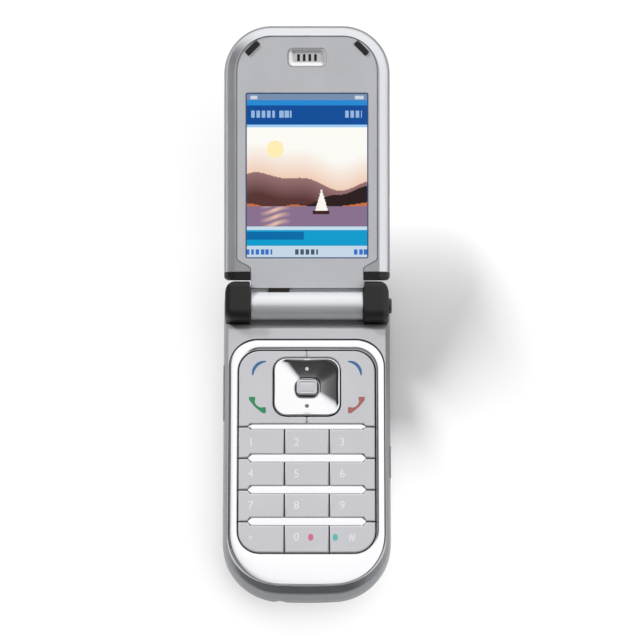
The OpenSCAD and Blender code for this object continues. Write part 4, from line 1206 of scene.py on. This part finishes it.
def screen_colour(x, y):
    """Colour of the lit display at a place in millimetres from its lower left corner."""
    width = 2 * window_half
    top = window_end - window_start
    if min(x, width - x, y, top - y) < 0.2:
        return shade((60, 84, 120))
    # Status line with a mark at each end, and a bright strip below it.
    if y > 44.9:
        on_icon = (1.2 < x < 3.2 or 31.0 < x < 33.4) and 45.3 < y < 46.3
        return shade((205, 214, 226) if on_icon else (118, 142, 172))
    if y > 43.5:
        return shade((36, 136, 211))
    # Title bar with a row of dashes, and a pale strip below it.
    if y > 38.1:
        in_row = 40.0 < y < 41.9
        dash = (1.4 < x < 8.2 and (x - 1.4) % 1.5 < 1.05) or (9.6 < x < 13.0 and (x - 9.6) % 1.5 < 1.05)
        clock = 28.2 < x < 33.0 and (x - 28.2) % 1.5 < 1.0
        return shade((150, 184, 222) if in_row and (dash or clock) else (8, 76, 152))
    if y > 37.2:
        return shade((161, 206, 247))
    # The picture, and a pale strip below it.
    if y > 9.1:
        return landscape(x / width, (y - 9.1) / 28.1)
    if y > 8.0:
        return shade((196, 222, 236))
    # Progress bar, filled up to its middle.
    if y > 3.4:
        done = x < 16.4 and 5.2 < y < 7.6
        return shade((0, 106, 168) if done else (8, 155, 205))
    # Labels of the keys below the display.
    in_label = 0.9 < y < 2.5
    if in_label and (x < 7.6 or x > 30.2) and x % 1.4 < 0.95:
        return shade((52, 112, 200))
    if in_label and 14.0 < x < 20.5 and (x - 14.0) % 1.5 < 1.0:
        return shade((70, 84, 110))
    return shade((198, 216, 232))


columns = int(round(2 * window_half / pixel))
lines = int(round((window_end - window_start) / pixel))
across_ends = columns + 1
xs = np.linspace(-window_half, window_half, across_ends)
ys = np.linspace(window_start, window_end, lines + 1)
lit = [(x, y, glass_top) for y in ys for x in xs]
lit_faces = []
for r in range(lines):
    for c in range(columns):
        corner = r * across_ends + c
        lit_faces.append((corner, corner + 1, corner + across_ends + 1, corner + across_ends))
rim = list(range(across_ends)) + [r * across_ends + columns for r in range(1, lines + 1)]
rim += [lines * across_ends + c for c in range(columns - 1, -1, -1)]
rim += [r * across_ends for r in range(lines - 1, 0, -1)]
below = [(lit[i][0], lit[i][1], glass_low) for i in rim]
first_low = len(lit)
for i in range(len(rim)):
    j = (i + 1) % len(rim)
    lit_faces.append((rim[j], rim[i], first_low + i, first_low + j))
lit_faces.append(tuple(first_low + i for i in reversed(range(len(rim)))))
pane = bpy.data.meshes.new("pane")
pane.from_pydata([on_lid @ Vector(p) * mm for p in lit + below], [], lit_faces)
tints = pane.color_attributes.new("screen", "FLOAT_COLOR", "CORNER")
values = np.ones((len(pane.loops), 4), np.float32)
values[:, :3] = shade((60, 84, 120))
for r in range(lines):
    for c in range(columns):
        first = pane.polygons[r * columns + c].loop_start
        values[first:first + 4, :3] = screen_colour((c + 0.5) * pixel, (r + 0.5) * pixel)
tints.data.foreach_set("color", values.ravel())

lit_glass, tree, shader = fresh_material("lit_glass")
glow = flow(tree, "ShaderNodeAttribute", {"attribute_name": "screen"})
place = wire(tree, "ShaderNodeTexCoord").outputs["Object"]
haze = flow(tree, "ShaderNodeTexNoise", Vector=place, Scale=260.0, Detail=2.0)
gloss = flow(tree, "ShaderNodeMapRange", Value=haze, To_Min=0.16, To_Max=0.24)
tone = flow(tree, "ShaderNodeVectorMath", {"operation": "SCALE"}, Vector=glow, Scale=0.05)
tree.links.new(glow, shader.inputs["Emission Color"])
tree.links.new(tone, shader.inputs["Base Color"])
tree.links.new(gloss, shader.inputs["Roughness"])
shader.inputs["Emission Strength"].default_value = 0.95
shader.inputs["Specular IOR Level"].default_value = 0.25
piece("display_pane", pane, lit_glass, "lid", "display_glass", "display_window")

# ---- Earpiece ----
# Small plated dish in an opening above the display, with four upright slots over the receiver.
# Its far side lies in shade and its near side catches the light.
ear_reach = 2.6
ear_half = 5.4


def ear_plan(inset):
    r = max(0.3, 1.4 - inset * 0.4)
    reach = ear_reach - inset
    return outline(ear_half - inset, ear_y - reach, ear_y + reach, (r, r), (r, r), arc=8, cap=4, side=5)


ear_rims = [(0, panel_z), (0, -0.62), (0.08, -0.56), (0.25, -0.56), (0.4, -0.6)]
ear_rims += [(0.4 + 0.9 * t, -0.6 - 0.45 * t**0.8) for t in (0.2, 0.4, 0.6, 0.8, 1)]
ear_rings = [at_height(ear_plan(inset), z) for inset, z in ear_rims]
slots = [block((x - 0.38, ear_y - 1.0, -3), (x + 0.38, ear_y + 1.0, 2)) for x in (-2.4, -0.8, 0.8, 2.4)]
dish_metal = finish_of("dish_metal", (0.84, 0.84, 0.85), 0.28, 0.25, 0.04, 0.0006, 0.6)
dish = carved(to_mesh("dish", loft(ear_rings), on_lid), ("DIFFERENCE", several(*slots)), place=on_lid)
piece("earpiece_dish", dish, dish_metal, "lid", "black_plastic", "earpiece_grille", smooth=40)

# ---- Outer window and camera ----
# Smoked acrylic window over the outer display, and a turned, plated ring round the camera's domed lens.
# Both sit in the outer cover and lie under the open lid.
smoked = finish_of("smoked_window", (0.012, 0.014, 0.02), 0.06, 0.6, 0.1, coat=0.6)
pane_steps = ((0.3, 0.05), (0.12, 0.08), (0.03, 0.16), (0, 0.28), (0, 0.85))
pane_rings = [at_height(window_plan(-inset, 1.9 - inset), lid_back + rise) for inset, rise in pane_steps]
piece("outer_glass", to_mesh("glass", loft(pane_rings), on_lid), smoked, "lid", "dark_glass", "outer_window")


def lathed(profile):
    """Rings about the camera's axis, from pairs of a radius and a height."""
    return [at_height(circle(r, 56, *camera_place), z) for r, z in profile]


camera_plating = finish_of("camera_plating", (0.72, 0.72, 0.74), 0.2, 0.15, 0.04, 0.0006, 0.95)
ring_low = lid_back - 0.2
ring_top = lid_back + 1.7
ring_profile = [
    (2.1, ring_top), (2.1, ring_low + 0.75), (2.3, ring_low + 0.62), (3.0, ring_low + 0.5),
    (3.15, ring_low + 0.42), (3.2, ring_low + 0.1), (3.35, ring_low), (3.9, ring_low),
    (4.1, ring_low + 0.1), (camera_r, ring_low + 0.3), (camera_r, ring_top),
]
lens_ring = to_mesh("ring", loft(lathed(ring_profile), closed=True), on_lid)
piece("lens_ring", lens_ring, camera_plating, "lid", "bright_bar", "camera_ring", smooth=40)
lens_steps = [(2.1, 0.95), (2.1, 0.6), (1.9, 0.5), (1.4, 0.42), (0.8, 0.37), (0.15, 0.35)]
lens_dome = to_mesh("lens", loft(lathed([(r, lid_back + rise) for r, rise in lens_steps])), on_lid)
lens_glass = finish_of("lens_glass", (0.01, 0.012, 0.03), 0.04, 0.8, 0.2, coat=0.5)
piece("lens_dome", lens_dome, lens_glass, "lid", "dark_glass", "camera_lens", smooth=40)

# ---- Side keys ----
# A rocking volume key on the left and a shutter key on the right, in the darker flank colour of the cover
# round them, which paints shade on them.
# Both are moulded with round ends and bear on small switches at the board's edge.
flush = body_w / 2 * mm
for node, name in (("volume_key", "volume_rocker"), ("camera_key", "shutter_key")):
    mesh = eased(merged_copy(node), 0.34, 40, 4)
    for vertex in mesh.vertices:
        out = abs(vertex.co.x) - flush
        if out > 0:
            vertex.co.x = math.copysign(flush + out * 0.3, vertex.co.x)
    piece(name, mesh, shade_painted_flank, node, "silver_key", node)

# ---- Screws ----
# Eight small machine screws with pan heads and cross recesses: four in the back, four under the panel.
# Turned and rolled from plated steel.
screw_steel = finish_of("screw_steel", (0.50, 0.50, 0.52), 0.28, 0.3, 0.1, 0.001, 0.95)
screw_sizes = {
    "Head Radius": ("Float", 1.3 * mm),
    "Head Height": ("Float", 0.9 * mm),
    "Slot Width": ("Float", 0.34 * mm),
    "Shank Radius": ("Float", shank_r * mm),
    "Finish": ("Material", screw_steel),
}


def rod(tree, sides, radius, depth, middle):
    """An upright round bar whose middle is at a height."""
    bar = flow(tree, "GeometryNodeMeshCylinder", Vertices=sides, Radius=radius, Depth=depth)
    move = flow(tree, "ShaderNodeCombineXYZ", Z=middle)
    return flow(tree, "GeometryNodeTransform", Geometry=bar, Translation=move)


def screw_tree(tree, given):
    """On each place, a head with a crossed recess and below it a shank as long as the place's "length"."""
    half = times(tree, given["Head Height"], -0.5)
    span = times(tree, given["Head Radius"], 1.25)
    cut = wire(tree, "GeometryNodeMeshBoolean", {"operation": "DIFFERENCE", "solver": "EXACT"})
    head = rod(tree, 32, given["Head Radius"], given["Head Height"], half)
    tree.links.new(head, cut.inputs[0])
    for across_arm, along_arm in ((span, given["Slot Width"]), (given["Slot Width"], span)):
        size = flow(tree, "ShaderNodeCombineXYZ", X=across_arm, Y=along_arm, Z=given["Head Height"])
        tree.links.new(flow(tree, "GeometryNodeMeshCube", Size=size), cut.inputs[1])
    shank = rod(tree, 24, given["Shank Radius"], 1.0, -0.5)
    long = flow(tree, "GeometryNodeInputNamedAttribute", {"data_type": "FLOAT"}, Name="length")
    stretch = flow(tree, "ShaderNodeCombineXYZ", X=1.0, Y=1.0, Z=long)
    places = given["Places"]
    heads = flow(tree, "GeometryNodeInstanceOnPoints", Points=places, Instance=cut.outputs[0])
    shanks = flow(tree, "GeometryNodeInstanceOnPoints", Points=places, Instance=shank, Scale=stretch)
    both = wire(tree, "GeometryNodeJoinGeometry")
    tree.links.new(heads, both.inputs[0])
    tree.links.new(shanks, both.inputs[0])
    return finished(tree, both.outputs[0], given["Finish"])


def screws(name, places, lengths, placed):
    """Mesh of screws whose heads face up at their places, then moved to where they belong."""
    mesh = grown(name, screw_sizes, screw_tree, places, lengths)
    mesh.transform(placed)
    return mesh


upturned = Matrix.Rotation(math.pi, 4, "Y")
base_places = [(side * x, y, -z) for side in (-1, 1) for (x, y), z in ((chin_screw, 1.55), (rear_screw, 0.2))]
base_mesh = screws("base_screws", base_places, [6.95, 9.5] * 2, upturned)
piece("housing_screws", base_mesh, screw_steel, "base", "dome_steel", "base_screws")
lid_places = [(side * x, y, -1.45) for side in (-1, 1) for x, y in (bumper, neck_screw)]
metres_on_lid = Matrix.Translation(on_lid.translation * mm) @ on_lid.to_3x3().to_4x4()
lid_mesh = screws("lid_screws", lid_places, [5.7] * 4, metres_on_lid)
piece("lid_shell_screws", lid_mesh, screw_steel, "lid", "dome_steel", "lid_screws")

# ---- Inner pieces ----
# What the shells hide keeps its construction shape and gets its own finish: boards, cans, cells and films.
# Solder resist, pressed steel, gold plating, moulded plastic, a flex film darkened nearly to black as painted
# shade, and rubber.


def dress(finish, *names):
    for name in names:
        for place in nodes[name].material_slots:
            place.material = finish


board_green = finish_of("board_green", (0.02, 0.13, 0.07), 0.3, 0.8, 0.25, 0.004)
dress(board_green, "main_board", "lid_board")
steel = finish_of("pressed_steel", (0.52, 0.53, 0.54), 0.3, 0.4, 0.08, 0.001, 0.95, stretch=(1, 12, 1))
dress(steel, "shield_cans", "key_domes", "card_holders", "vibration_motor", "hinge_pins", "hinge_unit")
gold_plating = finish_of("gold_plating", (0.62, 0.42, 0.14), 0.25, 0.3, 0.08, 0.001, 0.95)
dress(gold_plating, "battery_contacts", "microphone")
dress(black_plastic, "charge_socket", "loudspeaker", "earpiece_speaker", "camera_module")
dress(finish_of("pale_plastic", (0.62, 0.57, 0.45), 0.5, 0.3, 0.08, 0.003), "antenna")
dress(finish_of("cell_wrap", (0.045, 0.05, 0.075), 0.4, 0.5, 0.15, 0.002), "battery")
dress(finish_of("key_mat_silicone", (0.035, 0.035, 0.04), 0.6, 0.4, 0.1, 0.002), "keypad_mat")
module_frame = finish_of("module_frame", (0.09, 0.095, 0.11), 0.35, 0.4, 0.1, 0.002, 0.4)
dress(module_frame, "display_module", "outer_display")
# Painted shade: the flex film is darkened so that the groove it crosses at the hinge reads as shade.
shade_darkened_flex = finish_of("shade_darkened_flex", (0.09, 0.07, 0.055), 0.5, 0.4, 0.2, 0.001, 0.2, stretch=(14, 1, 1))
dress(shade_darkened_flex, "hinge_flex")

# ---- Last update ----
# The view layer takes in every change.
bpy.context.view_layer.update()
